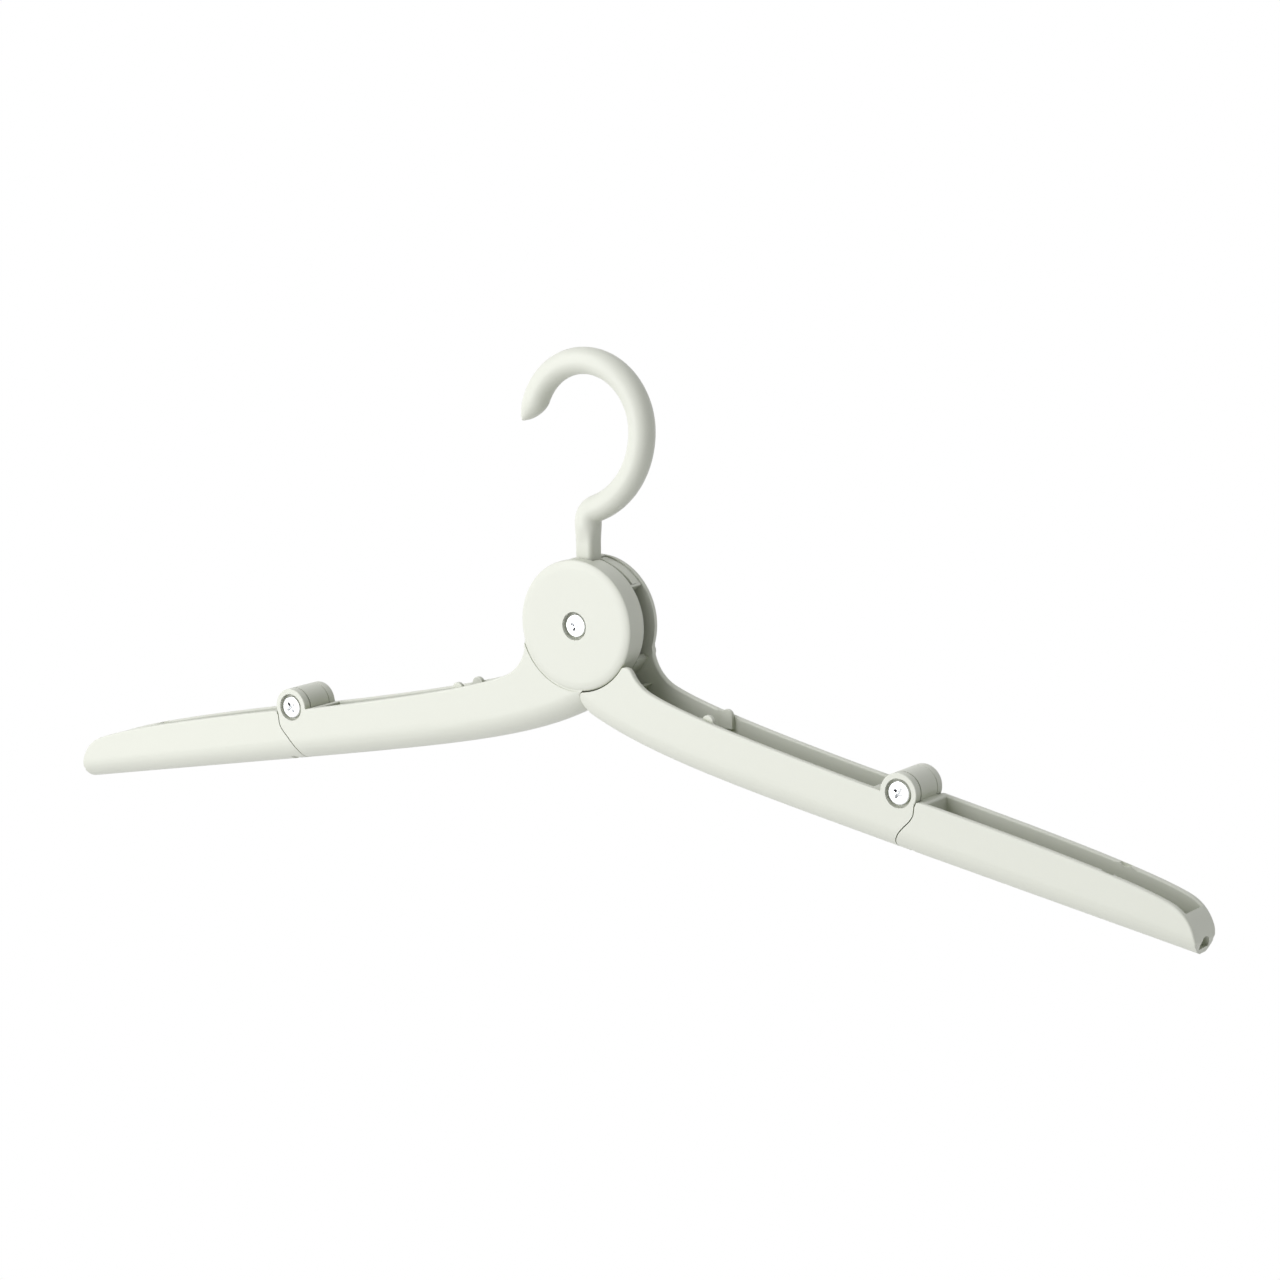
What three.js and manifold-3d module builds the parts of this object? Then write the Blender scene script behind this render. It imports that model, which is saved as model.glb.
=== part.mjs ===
// Folding travel hanger. A round hook stands on an eye. Two inner arms turn on the eye's screw and
// butt nose to nose under it, and an outer arm on each of them folds up and over, mouth to mouth.
// Millimetres, +Z up, the front towards -Y. The origin is the crown of the hook's bight, where the
// hanger rests on a rail. Every piece is drawn in the hub's frame: X to the right, Z up, origin on
// the hub's axis. The left side is the right side turned half a turn about Z.

import * as THREE from "three";
import { mergeVertices } from "three/addons/utils/BufferGeometryUtils.js";
import Module from "manifold-3d";

const wasm = await Module();
wasm.setup();

// Clearances
const RUNNING_GAP = 0.3; // between two pieces that touch or turn on each other
const HEAD_GAP = 0.4; // between a head's edge and the folded tip
const NEST_GAP_HUB = 0.35; // between the two mouths when folded, at the hub's end
const NEST_GAP_HINGE = 1.4; // and at the hinge's end
const OVERRUN = 3; // how far a cutting tool runs past what it cuts

// Hook
const HANG_HEIGHT = 69.2; // hub axis to the crown of the bight
const ROD_RADIUS = 3.75;
const BOWL_RADIUS = 18.3; // rod's centreline over the crown
const BELLY_RADIUS = 21.5; // rod's centreline below the widest place
const STEM_BEND_RADIUS = 6; // rod's centreline where it turns down into the stem
const STEM_WIDTH = 5.8;
const STEM_CORNER = 0.9;
const TIP_TAPER_LENGTH = 7; // last stretch of the rod, which narrows
const TIP_TAPER_SHARE = 0.8; // rod radius kept at the tip
const TIP_ANGLE = THREE.MathUtils.degToRad(176); // where the rod ends, round from +X

// Hub
const EYE_THICKNESS = 5.8;
const EYE_RADIUS = 11;
const HEAD_RADIUS = 18.4;
const HEAD_PROUD = 0.4; // head face beyond the arm's wall
const HEAD_PLATE = 2.2;
const HEAD_EDGE = 1.5; // rounding of the head's face
const RIM_WALL = 1.8;
const STEM_ROOM = 0.5; // between the stem and where the rim deepens beside it
const BOSS_RADIUS = 6.5;
const STOP_RADIUS = 18.1; // hook's stop wall, which ends the fold
const STOP_WALL = 3.2;
const STOP_FRONT = 1.5; // its near side, from the middle
const STOP_WEB_RADIUS = 15.7; // web from the eye that carries it
const STOP_NIB = THREE.MathUtils.degToRad(3); // nib that closes the slot at its end
const STOP_FROM = THREE.MathUtils.degToRad(38);
const STOP_TO = THREE.MathUtils.degToRad(80);
const FOLD_RANGE = THREE.MathUtils.degToRad(66); // how far an inner arm folds up
const STOP_SLACK = THREE.MathUtils.degToRad(2);
const STOP_START_SLACK = THREE.MathUtils.degToRad(4);
const WASHER_RADIUS = 6;
const WASHER_THICKNESS = 0.6;

// Arms
const ARM_WIDTH = 14;
const TIP_WIDTH = 12.4;
const WALL = 1.8;
const FLOOR = 2;
const HINGE_REACH = 103.4; // hub axis to a hinge's axis, across
const HINGE_DROP = 34.5; // and down
const HINGE_DEPTH = 16.3; // hinge axis to the underside
const ARM_SLOPE_SHARE = 0.186; // drop of the underside for its run
const HUB_RISE = 6.9; // how far the underside curves up under the hub
const HUB_RISE_RUN = 20;
const NECK_INSET = 1; // neck's flank inside the head's edge
const NECK_TOP = 5.5; // where the flank leaves the head, below the hub axis
const NECK_RADIUS = 12;
const NECK_TURN = THREE.MathUtils.degToRad(66); // how far the flank turns towards the arm
const MOUTH_END_GAP = 1.9; // from the hinge's ear to where the mouth's curve ends
const MOUTH_END_LIFT = 0.5; // mouth's end above the hinge axis
const MOUTH_END_SLOPE_SHARE = 0.2;
const HORN_DROP = 10; // top of the short wall's horn below the hub axis
const HORN_RADIUS = 1.3;
const WEB_RADIUS = 22.6; // cross web in the channel, concentric with the hub
const WEB_WALL = 1.4;
const WEB_DROP = 16.5; // its top below the hub axis
const NOSE_WALL = 1.9;
const NOSE_SHARES = [[0.13, -0.978], [0.065, -1.06], [0.098, -1.196], [0.217, -1.315], [0.4, -1.45]];

// Hinges
const EAR_RADIUS = 5.5;
const EAR_THICKNESS = 2.6;
const SEAM_START = THREE.MathUtils.degToRad(-32); // where the seam leaves the ear
const SEAM_SHARES = [[0.1, -0.46], [0.006, -0.64], [-0.055, -0.77], [-0.086, -0.9]];
const END_WALL = 2;
const NOTCH_RADIUS = 1.2;
const NOTCH_OFFSET = 2.2; // past the hinge axis

// Catches that hold an outer arm folded
const TAB_REACH = 42.6;
const TAB_RADIUS = 1.85;
const TAB_LIFT = 1.4; // above the mouth
const TAB_FOOT = 4; // below the mouth
const TAB_INWARD = 1.1; // into the channel from the wall's face
const TAB_OUTWARD = 0.2; // over the wall

// Tip
const TIP_ROUNDING = 2;
const TIP_WALL = 3.4;
const POCKET_WIDTH = 5.4;
const POCKET_HEIGHT = 3;
const POCKET_DEPTH = 2.2;
const POCKET_LIFT = 1.7; // above the underside

// Fasteners
const RECESS_RADIUS = 4;
const HUB_RECESS = 1.9;
const HINGE_RECESS = 1.6;
const SCREW_HEAD_RADIUS = 3.2;
const SCREW_HEAD_THICKNESS = 0.7;
const SCREW_DOME = 0.35;
const SCREW_RADIUS = 1.2;
const SLEEVE_RADIUS = 2.3;
const SLEEVE_FLANGE = 0.8;

// Facets
const ARC_STEPS = 8;
const ROUND_STEPS = 24;
const HEAD_STEPS = 48;
const ROD_SIDES = 14;
const STATION_COUNT = 13;

// Levels across the hanger, from its middle
const armSide = ARM_WIDTH / 2;
const channelSide = armSide - WALL;
const headFace = armSide + HEAD_PROUD;
const headInside = headFace - HEAD_PLATE;
const eyeSide = EYE_THICKNESS / 2;
const parting = RUNNING_GAP / 2;
const rimInside = eyeSide + RUNNING_GAP;
const bossInside = rimInside + WASHER_THICKNESS + RUNNING_GAP;
const earInside = armSide - EAR_THICKNESS;
const knuckleSide = earInside - RUNNING_GAP;
const boreRadius = SLEEVE_RADIUS + RUNNING_GAP;
const hinge = new THREE.Vector2(HINGE_REACH, -HINGE_DROP);
const headClear = HEAD_RADIUS + RUNNING_GAP;

// A closed mesh as a solid, and back
function solidOf(geometry) {
  const bare = new THREE.BufferGeometry();
  bare.setAttribute("position", geometry.getAttribute("position"));
  bare.setIndex(geometry.getIndex());
  const merged = mergeVertices(bare, 1e-4);
  const index = merged.getIndex().array;
  const triangles = [];
  for (let i = 0; i < index.length; i += 3) {
    const [a, b, c] = [index[i], index[i + 1], index[i + 2]];
    if (a !== b && b !== c && c !== a) {
      triangles.push(a, b, c);
    }
  }
  const mesh = new wasm.Mesh({
    numProp: 3,
    vertProperties: new Float32Array(merged.getAttribute("position").array),
    triVerts: new Uint32Array(triangles),
  });
  return new wasm.Manifold(mesh);
}

function geometryOf(solid) {
  const mesh = solid.getMesh();
  const geometry = new THREE.BufferGeometry();
  geometry.setAttribute("position", new THREE.BufferAttribute(new Float32Array(mesh.vertProperties), 3));
  geometry.setIndex(new THREE.BufferAttribute(new Uint32Array(mesh.triVerts), 1));
  geometry.computeVertexNormals();
  return geometry;
}

// Points of an arc about a centre, from one angle to another
function arc(x, z, radius, from, to, steps = ARC_STEPS) {
  const points = [];
  for (let i = 0; i <= steps; i++) {
    const angle = from + ((to - from) * i) / steps;
    points.push(new THREE.Vector2(x + radius * Math.cos(angle), z + radius * Math.sin(angle)));
  }
  return points;
}

// A path moved sideways, to its left, by a distance that may change along it
function offsetPath(points, distanceAt) {
  return points.map((point, i) => {
    const before = points[Math.max(i - 1, 0)];
    const after = points[Math.min(i + 1, points.length - 1)];
    const along = after.clone().sub(before).normalize();
    const distance = distanceAt(i / (points.length - 1));
    return new THREE.Vector2(point.x - along.y * distance, point.y + along.x * distance);
  });
}

// Points turned half a turn about the hinge's axis, as an outer arm is when folded
function folded(points) {
  return points.map((point) => new THREE.Vector2(2 * hinge.x - point.x, 2 * hinge.y - point.y));
}

// An X-Z outline made solid between two levels of Y
function slab(points, low, high) {
  const shape = new THREE.Shape(points);
  const geometry = new THREE.ExtrudeGeometry(shape, { depth: high - low, bevelEnabled: false });
  geometry.rotateX(Math.PI / 2);
  geometry.translate(0, high, 0);
  return solidOf(geometry);
}

// A round solid about the Y direction through a centre, from a radius-level profile
function turned(profile, centre = new THREE.Vector2(), steps = ROUND_STEPS) {
  const geometry = new THREE.LatheGeometry(profile, steps);
  geometry.translate(centre.x, 0, centre.y);
  return solidOf(geometry);
}

function disc(radius, low, high, centre, steps) {
  const profile = [
    new THREE.Vector2(0, low),
    new THREE.Vector2(radius, low),
    new THREE.Vector2(radius, high),
    new THREE.Vector2(0, high),
  ];
  return turned(profile, centre, steps);
}

// A solid skinned over sections: each has an outline and a function that places its points
function loft(sections) {
  const count = sections[0].outline.length;
  const positions = [];
  for (const { outline, place } of sections) {
    for (const point of outline) {
      positions.push(...place(point).toArray());
    }
  }
  const triangles = [];
  for (let s = 0; s < sections.length - 1; s++) {
    for (let i = 0; i < count; i++) {
      const next = (i + 1) % count;
      const [a, b] = [s * count + i, s * count + next];
      triangles.push(a, b, b + count, a, b + count, a + count);
    }
  }
  const last = (sections.length - 1) * count;
  const { outline } = sections[0];
  for (const face of THREE.ShapeUtils.triangulateShape(outline, [])) {
    const ring = THREE.ShapeUtils.area(face.map((i) => outline[i])) > 0 ? face : [...face].reverse();
    triangles.push(ring[2], ring[1], ring[0], last + ring[0], last + ring[1], last + ring[2]);
  }
  const geometry = new THREE.BufferGeometry();
  geometry.setAttribute("position", new THREE.Float32BufferAttribute(positions, 3));
  geometry.setIndex(triangles);
  return solidOf(geometry);
}

// Height of an arm's underside at a place along it
function undersideAt(x) {
  const straight = -HINGE_DROP - HINGE_DEPTH - ARM_SLOPE_SHARE * (x - HINGE_REACH);
  return straight + HUB_RISE * Math.exp(-x / HUB_RISE_RUN);
}

// Half the width of the right arm at a place along it: even up to the hinge, then narrowing
function halfWidthAt(x) {
  const reach = HINGE_REACH - HEAD_RADIUS;
  const share = THREE.MathUtils.clamp((x - HINGE_REACH) / reach, 0, 1);
  return THREE.MathUtils.lerp(armSide, TIP_WIDTH / 2, share);
}

// A bar with a fully rounded underside, made smaller all round for the channel inside it
function bar(from, to, wall, floor) {
  const sections = [];
  for (let i = 0; i <= STATION_COUNT; i++) {
    const x = THREE.MathUtils.lerp(from, to, i / STATION_COUNT);
    const radius = halfWidthAt(x) - wall;
    const bottom = undersideAt(x) + floor;
    const outline = arc(0, bottom + radius, radius, Math.PI, 2 * Math.PI, ARC_STEPS);
    outline.push(new THREE.Vector2(radius, OVERRUN), new THREE.Vector2(-radius, OVERRUN));
    sections.push({ outline, place: (p) => new THREE.Vector3(x, p.x, p.y) });
  }
  return loft(sections);
}

// Mouth of the inner arm: the neck's flank and then a slack curve to the hinge's ear
function mouthPath() {
  const flankX = HEAD_RADIUS - NECK_INSET;
  const neck = arc(flankX + NECK_RADIUS, -NECK_TOP, NECK_RADIUS, Math.PI, Math.PI + NECK_TURN);
  const start = neck.pop();
  const startSlope = -1 / Math.tan(NECK_TURN);
  const end = new THREE.Vector2(hinge.x - EAR_RADIUS - MOUTH_END_GAP, hinge.y + MOUTH_END_LIFT);
  const endSlope = -MOUTH_END_SLOPE_SHARE;
  const kneeX = (end.y - endSlope * end.x - start.y + startSlope * start.x) / (startSlope - endSlope);
  const knee = new THREE.Vector2(kneeX, start.y + startSlope * (kneeX - start.x));
  const curve = new THREE.QuadraticBezierCurve(start, knee, end);
  return [...neck, ...curve.getPoints(ARC_STEPS + 2)];
}

const mouth = mouthPath();
const foldedMouth = folded(
  offsetPath(mouth, (share) => THREE.MathUtils.lerp(NEST_GAP_HUB, NEST_GAP_HINGE, share)),
);

function mouthAt(x) {
  const i = mouth.findIndex((point) => point.x > x);
  const share = (x - mouth[i - 1].x) / (mouth[i].x - mouth[i - 1].x);
  return THREE.MathUtils.lerp(mouth[i - 1].y, mouth[i].y, share);
}

// Seam beside a hinge, from the ear down through the underside
function seamPath() {
  const start = new THREE.Vector2(Math.cos(SEAM_START), Math.sin(SEAM_START)).multiplyScalar(EAR_RADIUS);
  const points = SEAM_SHARES.map(([x, z]) => new THREE.Vector2(x, z).multiplyScalar(HINGE_DEPTH));
  const curve = new THREE.SplineCurve([start, ...points]);
  const path = curve.getPoints(ARC_STEPS + 2).map((point) => point.add(hinge));
  const foot = path[path.length - 1];
  path.push(new THREE.Vector2(foot.x, undersideAt(foot.x) - OVERRUN));
  return path;
}

// Side outline of the inner arm. The tall one carries the head, and the short one stops at a horn.
function innerOutline(tall) {
  const lowest = undersideAt(HINGE_REACH + EAR_RADIUS) - OVERRUN;
  const ear = arc(hinge.x, hinge.y, EAR_RADIUS, Math.PI, SEAM_START, ROUND_STEPS / 2);
  const underHub = -HEAD_RADIUS / 2;
  const rest = [...ear, ...seamPath().slice(1), new THREE.Vector2(underHub, lowest)];
  if (tall) {
    return [new THREE.Vector2(underHub, 0), ...mouth, ...rest];
  }
  const hornTop = -HORN_DROP;
  const below = mouth.filter((point) => point.y < hornTop - HORN_RADIUS);
  const shoulder = new THREE.Vector2(below[0].x - HORN_RADIUS, hornTop - HORN_RADIUS);
  const horn = arc(shoulder.x, shoulder.y, HORN_RADIUS, Math.PI / 2, 0, ARC_STEPS / 2);
  return [new THREE.Vector2(underHub, hornTop), ...horn, ...below, ...rest];
}

// Everything left of the twisted seam where the two noses meet
function noseCut() {
  const shape = NOSE_SHARES.map(([x, z]) => new THREE.Vector2(x, z).multiplyScalar(HEAD_RADIUS));
  const seam = new THREE.SplineCurve(shape).getPoints(ARC_STEPS);
  const far = -2 * HEAD_RADIUS;
  const sections = Array.from({ length: ARC_STEPS + 1 }, (_, i) => {
    const y = THREE.MathUtils.lerp(armSide + OVERRUN, -armSide - OVERRUN, i / ARC_STEPS);
    const outline = seam.map((p) => new THREE.Vector2((-p.x * y) / armSide + RUNNING_GAP / 2, p.y));
    outline.push(new THREE.Vector2(far, seam[seam.length - 1].y), new THREE.Vector2(far, -EYE_RADIUS));
    outline.push(new THREE.Vector2(outline[0].x, -EYE_RADIUS));
    outline.reverse();
    return { outline, place: (p) => new THREE.Vector3(p.x, y, p.y) };
  });
  return loft(sections);
}

// Solids between two angles about the hub
function wedge(from, to, low, high) {
  const reach = 2 * HEAD_RADIUS;
  const steps = Math.ceil((to - from) / (Math.PI / ARC_STEPS));
  return slab([new THREE.Vector2(), ...arc(0, 0, reach, from, to, steps)], low, high);
}

function ring(inner, outer, low, high, centre, steps) {
  const bore = disc(inner, low - OVERRUN, high + OVERRUN, centre, steps);
  return disc(outer, low, high, centre, steps).subtract(bore);
}

// Round head of an inner arm: plate, boss, and a rim that reaches the middle except beside the stem
function head() {
  const face = arc(HEAD_RADIUS - HEAD_EDGE, headFace - HEAD_EDGE, HEAD_EDGE, 0, Math.PI / 2, ARC_STEPS / 2);
  const profile = [
    new THREE.Vector2(0, headInside),
    new THREE.Vector2(HEAD_RADIUS, headInside),
    ...face,
    new THREE.Vector2(0, headFace),
  ];
  const rimBore = HEAD_RADIUS - RIM_WALL;
  const rimEnd = 2 * Math.PI + STOP_FROM - FOLD_RANGE - STOP_SLACK;
  const pastStem = Math.PI / 2 + Math.asin((STEM_WIDTH / 2 + STEM_ROOM) / rimBore);
  const shallow = wedge(STOP_TO + STOP_START_SLACK, rimEnd, rimInside, headFace);
  const deep = wedge(pastStem, rimEnd, parting, headFace);
  const rim = ring(rimBore, HEAD_RADIUS, parting, headFace - HEAD_EDGE, undefined, HEAD_STEPS);
  const boss = disc(BOSS_RADIUS, bossInside, headFace - HEAD_EDGE);
  return turned(profile, undefined, HEAD_STEPS).add(rim.intersect(shallow.add(deep))).add(boss);
}

// Screw hole with a recess at each end given by its level and depth
function screwHole(centre, ends) {
  const reach = headFace + OVERRUN;
  let hole = disc(boreRadius, -reach, reach, centre);
  for (const [level, depth] of ends) {
    const far = Math.sign(level) * reach;
    const near = level - Math.sign(level) * depth;
    hole = hole.add(disc(RECESS_RADIUS, Math.min(near, far), Math.max(near, far), centre));
  }
  return hole;
}

// Outline of a catch, with its half-round top and its foot
function tabOutline(extra) {
  const top = mouthAt(TAB_REACH) + TAB_LIFT - TAB_RADIUS;
  const dome = arc(TAB_REACH, top, TAB_RADIUS + extra, 0, Math.PI);
  const foot = mouthAt(TAB_REACH) - TAB_FOOT;
  return [
    ...dome,
    new THREE.Vector2(TAB_REACH - TAB_RADIUS - extra, foot),
    new THREE.Vector2(TAB_REACH + TAB_RADIUS + extra, foot),
  ];
}

// The same slab on both walls
function onBothWalls(points, low, high) {
  return slab(points, low, high).add(slab(points, -high, -low));
}

// Inner arm: a channel with a head on its tall wall and two ears at its far end
function innerArm() {
  const outside = bar(-HEAD_RADIUS, HINGE_REACH + 2 * EAR_RADIUS, 0, 0);
  const tall = slab(innerOutline(true), channelSide, armSide + OVERRUN);
  const short = slab(innerOutline(false), -armSide - OVERRUN, channelSide);
  const otherHeadRoom = disc(headClear, -headFace - OVERRUN, parting, undefined, HEAD_STEPS);
  const ownRimRoom = disc(HEAD_RADIUS - RIM_WALL / 2, 0, channelSide, undefined, HEAD_STEPS);
  const hubRoom = otherHeadRoom.add(ownRimRoom);
  const body = outside.intersect(tall.add(short.subtract(hubRoom))).subtract(noseCut());

  const channelEnd = hinge.x - EAR_RADIUS - RUNNING_GAP - WALL;
  const channel = bar(NOSE_WALL, channelEnd, WALL, FLOOR);
  const web = ring(WEB_RADIUS, WEB_RADIUS + WEB_WALL, -armSide, armSide, undefined, HEAD_STEPS);
  const webRoom = slab(
    [
      new THREE.Vector2(NOSE_WALL, -WEB_DROP),
      new THREE.Vector2(WEB_RADIUS + 2 * WEB_WALL, -WEB_DROP),
      new THREE.Vector2(WEB_RADIUS + 2 * WEB_WALL, -2 * HEAD_RADIUS),
      new THREE.Vector2(NOSE_WALL, -2 * HEAD_RADIUS),
    ],
    -armSide,
    armSide,
  );
  const knuckleRoom = disc(EAR_RADIUS + RUNNING_GAP, -earInside, earInside, hinge);
  const tabs = onBothWalls(tabOutline(0), channelSide - TAB_INWARD, channelSide + TAB_OUTWARD);

  return body
    .subtract(channel.subtract(web.intersect(webRoom)))
    .subtract(knuckleRoom)
    .add(tabs)
    .add(head())
    .subtract(screwHole(new THREE.Vector2(), [[headFace, HUB_RECESS]]))
    .subtract(screwHole(hinge, [[armSide, HINGE_RECESS], [-armSide, HINGE_RECESS]]));
}

// Side outline of the outer arm. Its mouth is the inner arm's, turned about the hinge.
function outerOutline(earRoom) {
  const foot = hinge.y - HINGE_DEPTH - ARM_SLOPE_SHARE * HINGE_REACH - OVERRUN;
  const tip = foldedMouth[0];
  const seam = offsetPath(seamPath(), () => RUNNING_GAP);
  const topAngle = Math.atan2(foldedMouth.at(-1).y - hinge.y, EAR_RADIUS);
  const beside = arc(hinge.x, hinge.y, earRoom, topAngle, SEAM_START, ARC_STEPS / 2);
  return [
    ...beside,
    ...seam.slice(1),
    new THREE.Vector2(seam.at(-1).x, foot),
    new THREE.Vector2(tip.x, foot),
    ...foldedMouth,
  ];
}

// Everything outside the rounded foot of the tip
function tipCut() {
  const end = foldedMouth[0].x;
  const bottom = undersideAt(end);
  const foot = arc(end - TIP_ROUNDING, bottom + TIP_ROUNDING, TIP_ROUNDING, 0, -Math.PI / 2, ARC_STEPS / 2);
  const corner = [new THREE.Vector2(end - TIP_ROUNDING, bottom - OVERRUN)];
  corner.push(new THREE.Vector2(end + OVERRUN, bottom - OVERRUN));
  corner.push(new THREE.Vector2(end + OVERRUN, bottom + TIP_ROUNDING));
  return slab([...foot, ...corner], -armSide, armSide);
}

// Arched pocket in the tip's end
function tipPocket() {
  const end = foldedMouth[0].x;
  const low = undersideAt(end) + POCKET_LIFT;
  const radius = POCKET_WIDTH / 2;
  const spring = low + POCKET_HEIGHT - radius;
  const outline = [...arc(0, spring, radius, 0, Math.PI), new THREE.Vector2(-radius, low)];
  outline.push(new THREE.Vector2(radius, low));
  return loft(
    [end - POCKET_DEPTH, end + OVERRUN].map((x) => ({
      outline,
      place: (p) => new THREE.Vector3(x, p.x, p.y),
    })),
  );
}

// Outer arm: a channel closed at both ends, with a knuckle that turns between the ears
function outerArm() {
  const end = foldedMouth[0].x;
  const outside = bar(HINGE_REACH - 2 * EAR_RADIUS, end, 0, 0);
  const full = slab(outerOutline(EAR_RADIUS + RUNNING_GAP), -armSide, armSide);
  const strap = slab(outerOutline(EAR_RADIUS - RUNNING_GAP), -knuckleSide, knuckleSide);
  const foldedHub = folded([new THREE.Vector2()])[0];
  const foldedHead = disc(HEAD_RADIUS + HEAD_GAP, -headFace, headFace, foldedHub, HEAD_STEPS);
  const channel = bar(hinge.x + EAR_RADIUS + RUNNING_GAP + END_WALL, end - TIP_WALL, WALL, FLOOR);
  const notchCentre = new THREE.Vector2(hinge.x + NOTCH_OFFSET, undersideAt(hinge.x + NOTCH_OFFSET));
  const notch = disc(NOTCH_RADIUS, -armSide, armSide, notchCentre, ARC_STEPS * 2);
  const catches = onBothWalls(folded(tabOutline(RUNNING_GAP)), 0, channelSide + TAB_OUTWARD + RUNNING_GAP);

  return outside
    .intersect(full.add(strap))
    .subtract(foldedHead)
    .subtract(tipCut())
    .subtract(channel)
    .subtract(catches)
    .subtract(notch)
    .subtract(tipPocket())
    .add(disc(EAR_RADIUS, -knuckleSide, knuckleSide, hinge))
    .subtract(disc(boreRadius, -armSide, armSide, hinge));
}

// Rod of the hook: over the crown, round the belly and down into the stem
function hookPath() {
  const bowlZ = HANG_HEIGHT + ROD_RADIUS - BOWL_RADIUS;
  const bellyX = BOWL_RADIUS - BELLY_RADIUS;
  const reach = BELLY_RADIUS + STEM_BEND_RADIUS;
  const across = STEM_BEND_RADIUS - bellyX;
  const bendZ = bowlZ - Math.sqrt(reach * reach - across * across);
  const meet = Math.atan2(bendZ - bowlZ, across);
  return [
    ...arc(0, bowlZ, BOWL_RADIUS, TIP_ANGLE, 0, 2 * ARC_STEPS),
    ...arc(bellyX, bowlZ, BELLY_RADIUS, 0, meet, ARC_STEPS).slice(1),
    ...arc(STEM_BEND_RADIUS, bendZ, STEM_BEND_RADIUS, meet + Math.PI, Math.PI, ARC_STEPS / 2).slice(1),
  ];
}

// Radius of the rod at a distance from its free end, with a rounded and slightly tapered tip
function rodRadiusAt(distance) {
  const taper = THREE.MathUtils.lerp(TIP_TAPER_SHARE, 1, Math.min(distance / TIP_TAPER_LENGTH, 1));
  return ROD_RADIUS * taper;
}

function rod() {
  const path = hookPath();
  let distance = 0;
  const sections = path.map((point, i) => {
    const before = path[Math.max(i - 1, 0)];
    const after = path[Math.min(i + 1, path.length - 1)];
    const along = after.clone().sub(before).normalize();
    distance += point.distanceTo(before);
    const outline = arc(0, 0, rodRadiusAt(distance), 0, 2 * Math.PI, ROD_SIDES);
    outline.pop();
    const place = (p) => new THREE.Vector3(point.x + along.y * p.x, p.y, point.y - along.x * p.x);
    return { outline, place };
  });
  return loft(sections);
}

function ball(radius, centre) {
  const profile = arc(0, 0, radius, -Math.PI / 2, Math.PI / 2);
  profile[0].x = 0;
  profile[profile.length - 1].x = 0;
  return turned(profile, centre, ROD_SIDES);
}

// Square stem with rounded corners, from the eye up into the rod
function stem(top) {
  const side = STEM_WIDTH / 2;
  const middle = side - STEM_CORNER;
  const outline = [];
  const corners = [[middle, middle], [-middle, middle], [-middle, -middle], [middle, -middle]];
  corners.forEach(([x, y], quarter) => {
    const from = (quarter * Math.PI) / 2;
    outline.push(...arc(x, y, STEM_CORNER, from, from + Math.PI / 2, 2));
  });
  return loft([0, top].map((z) => ({ outline, place: (p) => new THREE.Vector3(p.x, p.y, z) })));
}

// Wall on the hook's eye that a folding arm's rim runs up against, with a nib at that end
function stopWall() {
  const outer = headInside - RUNNING_GAP;
  const far = outer + OVERRUN;
  const bore = STOP_RADIUS - STOP_WALL;
  const web = disc(STOP_WEB_RADIUS, 0, eyeSide, undefined, HEAD_STEPS);
  const wall = ring(bore, STOP_RADIUS, STOP_FRONT, outer, undefined, HEAD_STEPS);
  const nib = ring(bore, STOP_RADIUS, parting, outer, undefined, HEAD_STEPS);
  return web
    .add(wall)
    .intersect(wedge(STOP_FROM, STOP_TO, -OVERRUN, far))
    .add(nib.intersect(wedge(STOP_FROM, STOP_FROM + STOP_NIB, -OVERRUN, far)));
}

function hook() {
  const path = hookPath();
  const stop = stopWall();
  return rod()
    .add(ball(rodRadiusAt(0), path[0]))
    .add(ball(rodRadiusAt(TIP_TAPER_LENGTH), path.at(-1)))
    .add(stem(path.at(-1).y + ROD_RADIUS / 2))
    .add(disc(EYE_RADIUS, -eyeSide, eyeSide))
    .add(stop)
    .add(stop.rotate([0, 0, 180]))
    .subtract(disc(boreRadius, -headFace, headFace));
}

function washer() {
  return ring(boreRadius, WASHER_RADIUS, rimInside, rimInside + WASHER_THICKNESS);
}

// Screw whose head lies in the front recess, and the sleeve nut that it goes into from behind
function screw(seat) {
  const under = seat + RUNNING_GAP;
  const edge = under + SCREW_HEAD_THICKNESS;
  return turned([
    new THREE.Vector2(0, -edge - SCREW_DOME),
    new THREE.Vector2(SCREW_HEAD_RADIUS - SCREW_DOME, -edge - SCREW_DOME / 2),
    new THREE.Vector2(SCREW_HEAD_RADIUS, -edge),
    new THREE.Vector2(SCREW_HEAD_RADIUS, -under),
    new THREE.Vector2(SCREW_RADIUS, -under),
    new THREE.Vector2(SCREW_RADIUS, seat - 2 * RUNNING_GAP),
    new THREE.Vector2(0, seat - 2 * RUNNING_GAP),
  ]);
}

function sleeveNut(seat) {
  const under = seat + RUNNING_GAP;
  const bore = SCREW_RADIUS + RUNNING_GAP;
  return turned([
    new THREE.Vector2(0, seat - RUNNING_GAP),
    new THREE.Vector2(bore, seat - RUNNING_GAP),
    new THREE.Vector2(bore, -seat),
    new THREE.Vector2(SLEEVE_RADIUS, -seat),
    new THREE.Vector2(SLEEVE_RADIUS, under),
    new THREE.Vector2(SCREW_HEAD_RADIUS, under),
    new THREE.Vector2(SCREW_HEAD_RADIUS, under + SLEEVE_FLANGE),
    new THREE.Vector2(0, under + SLEEVE_FLANGE),
  ]);
}

// Finishes
const PLASTIC = { color: 0xe9ebe2, roughness: 0.5, metalness: 0 };
const CHROME = { color: 0xd4d6d8, roughness: 0.12, metalness: 1 };
const NYLON = { color: 0xdfe0d8, roughness: 0.6, metalness: 0 };

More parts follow.
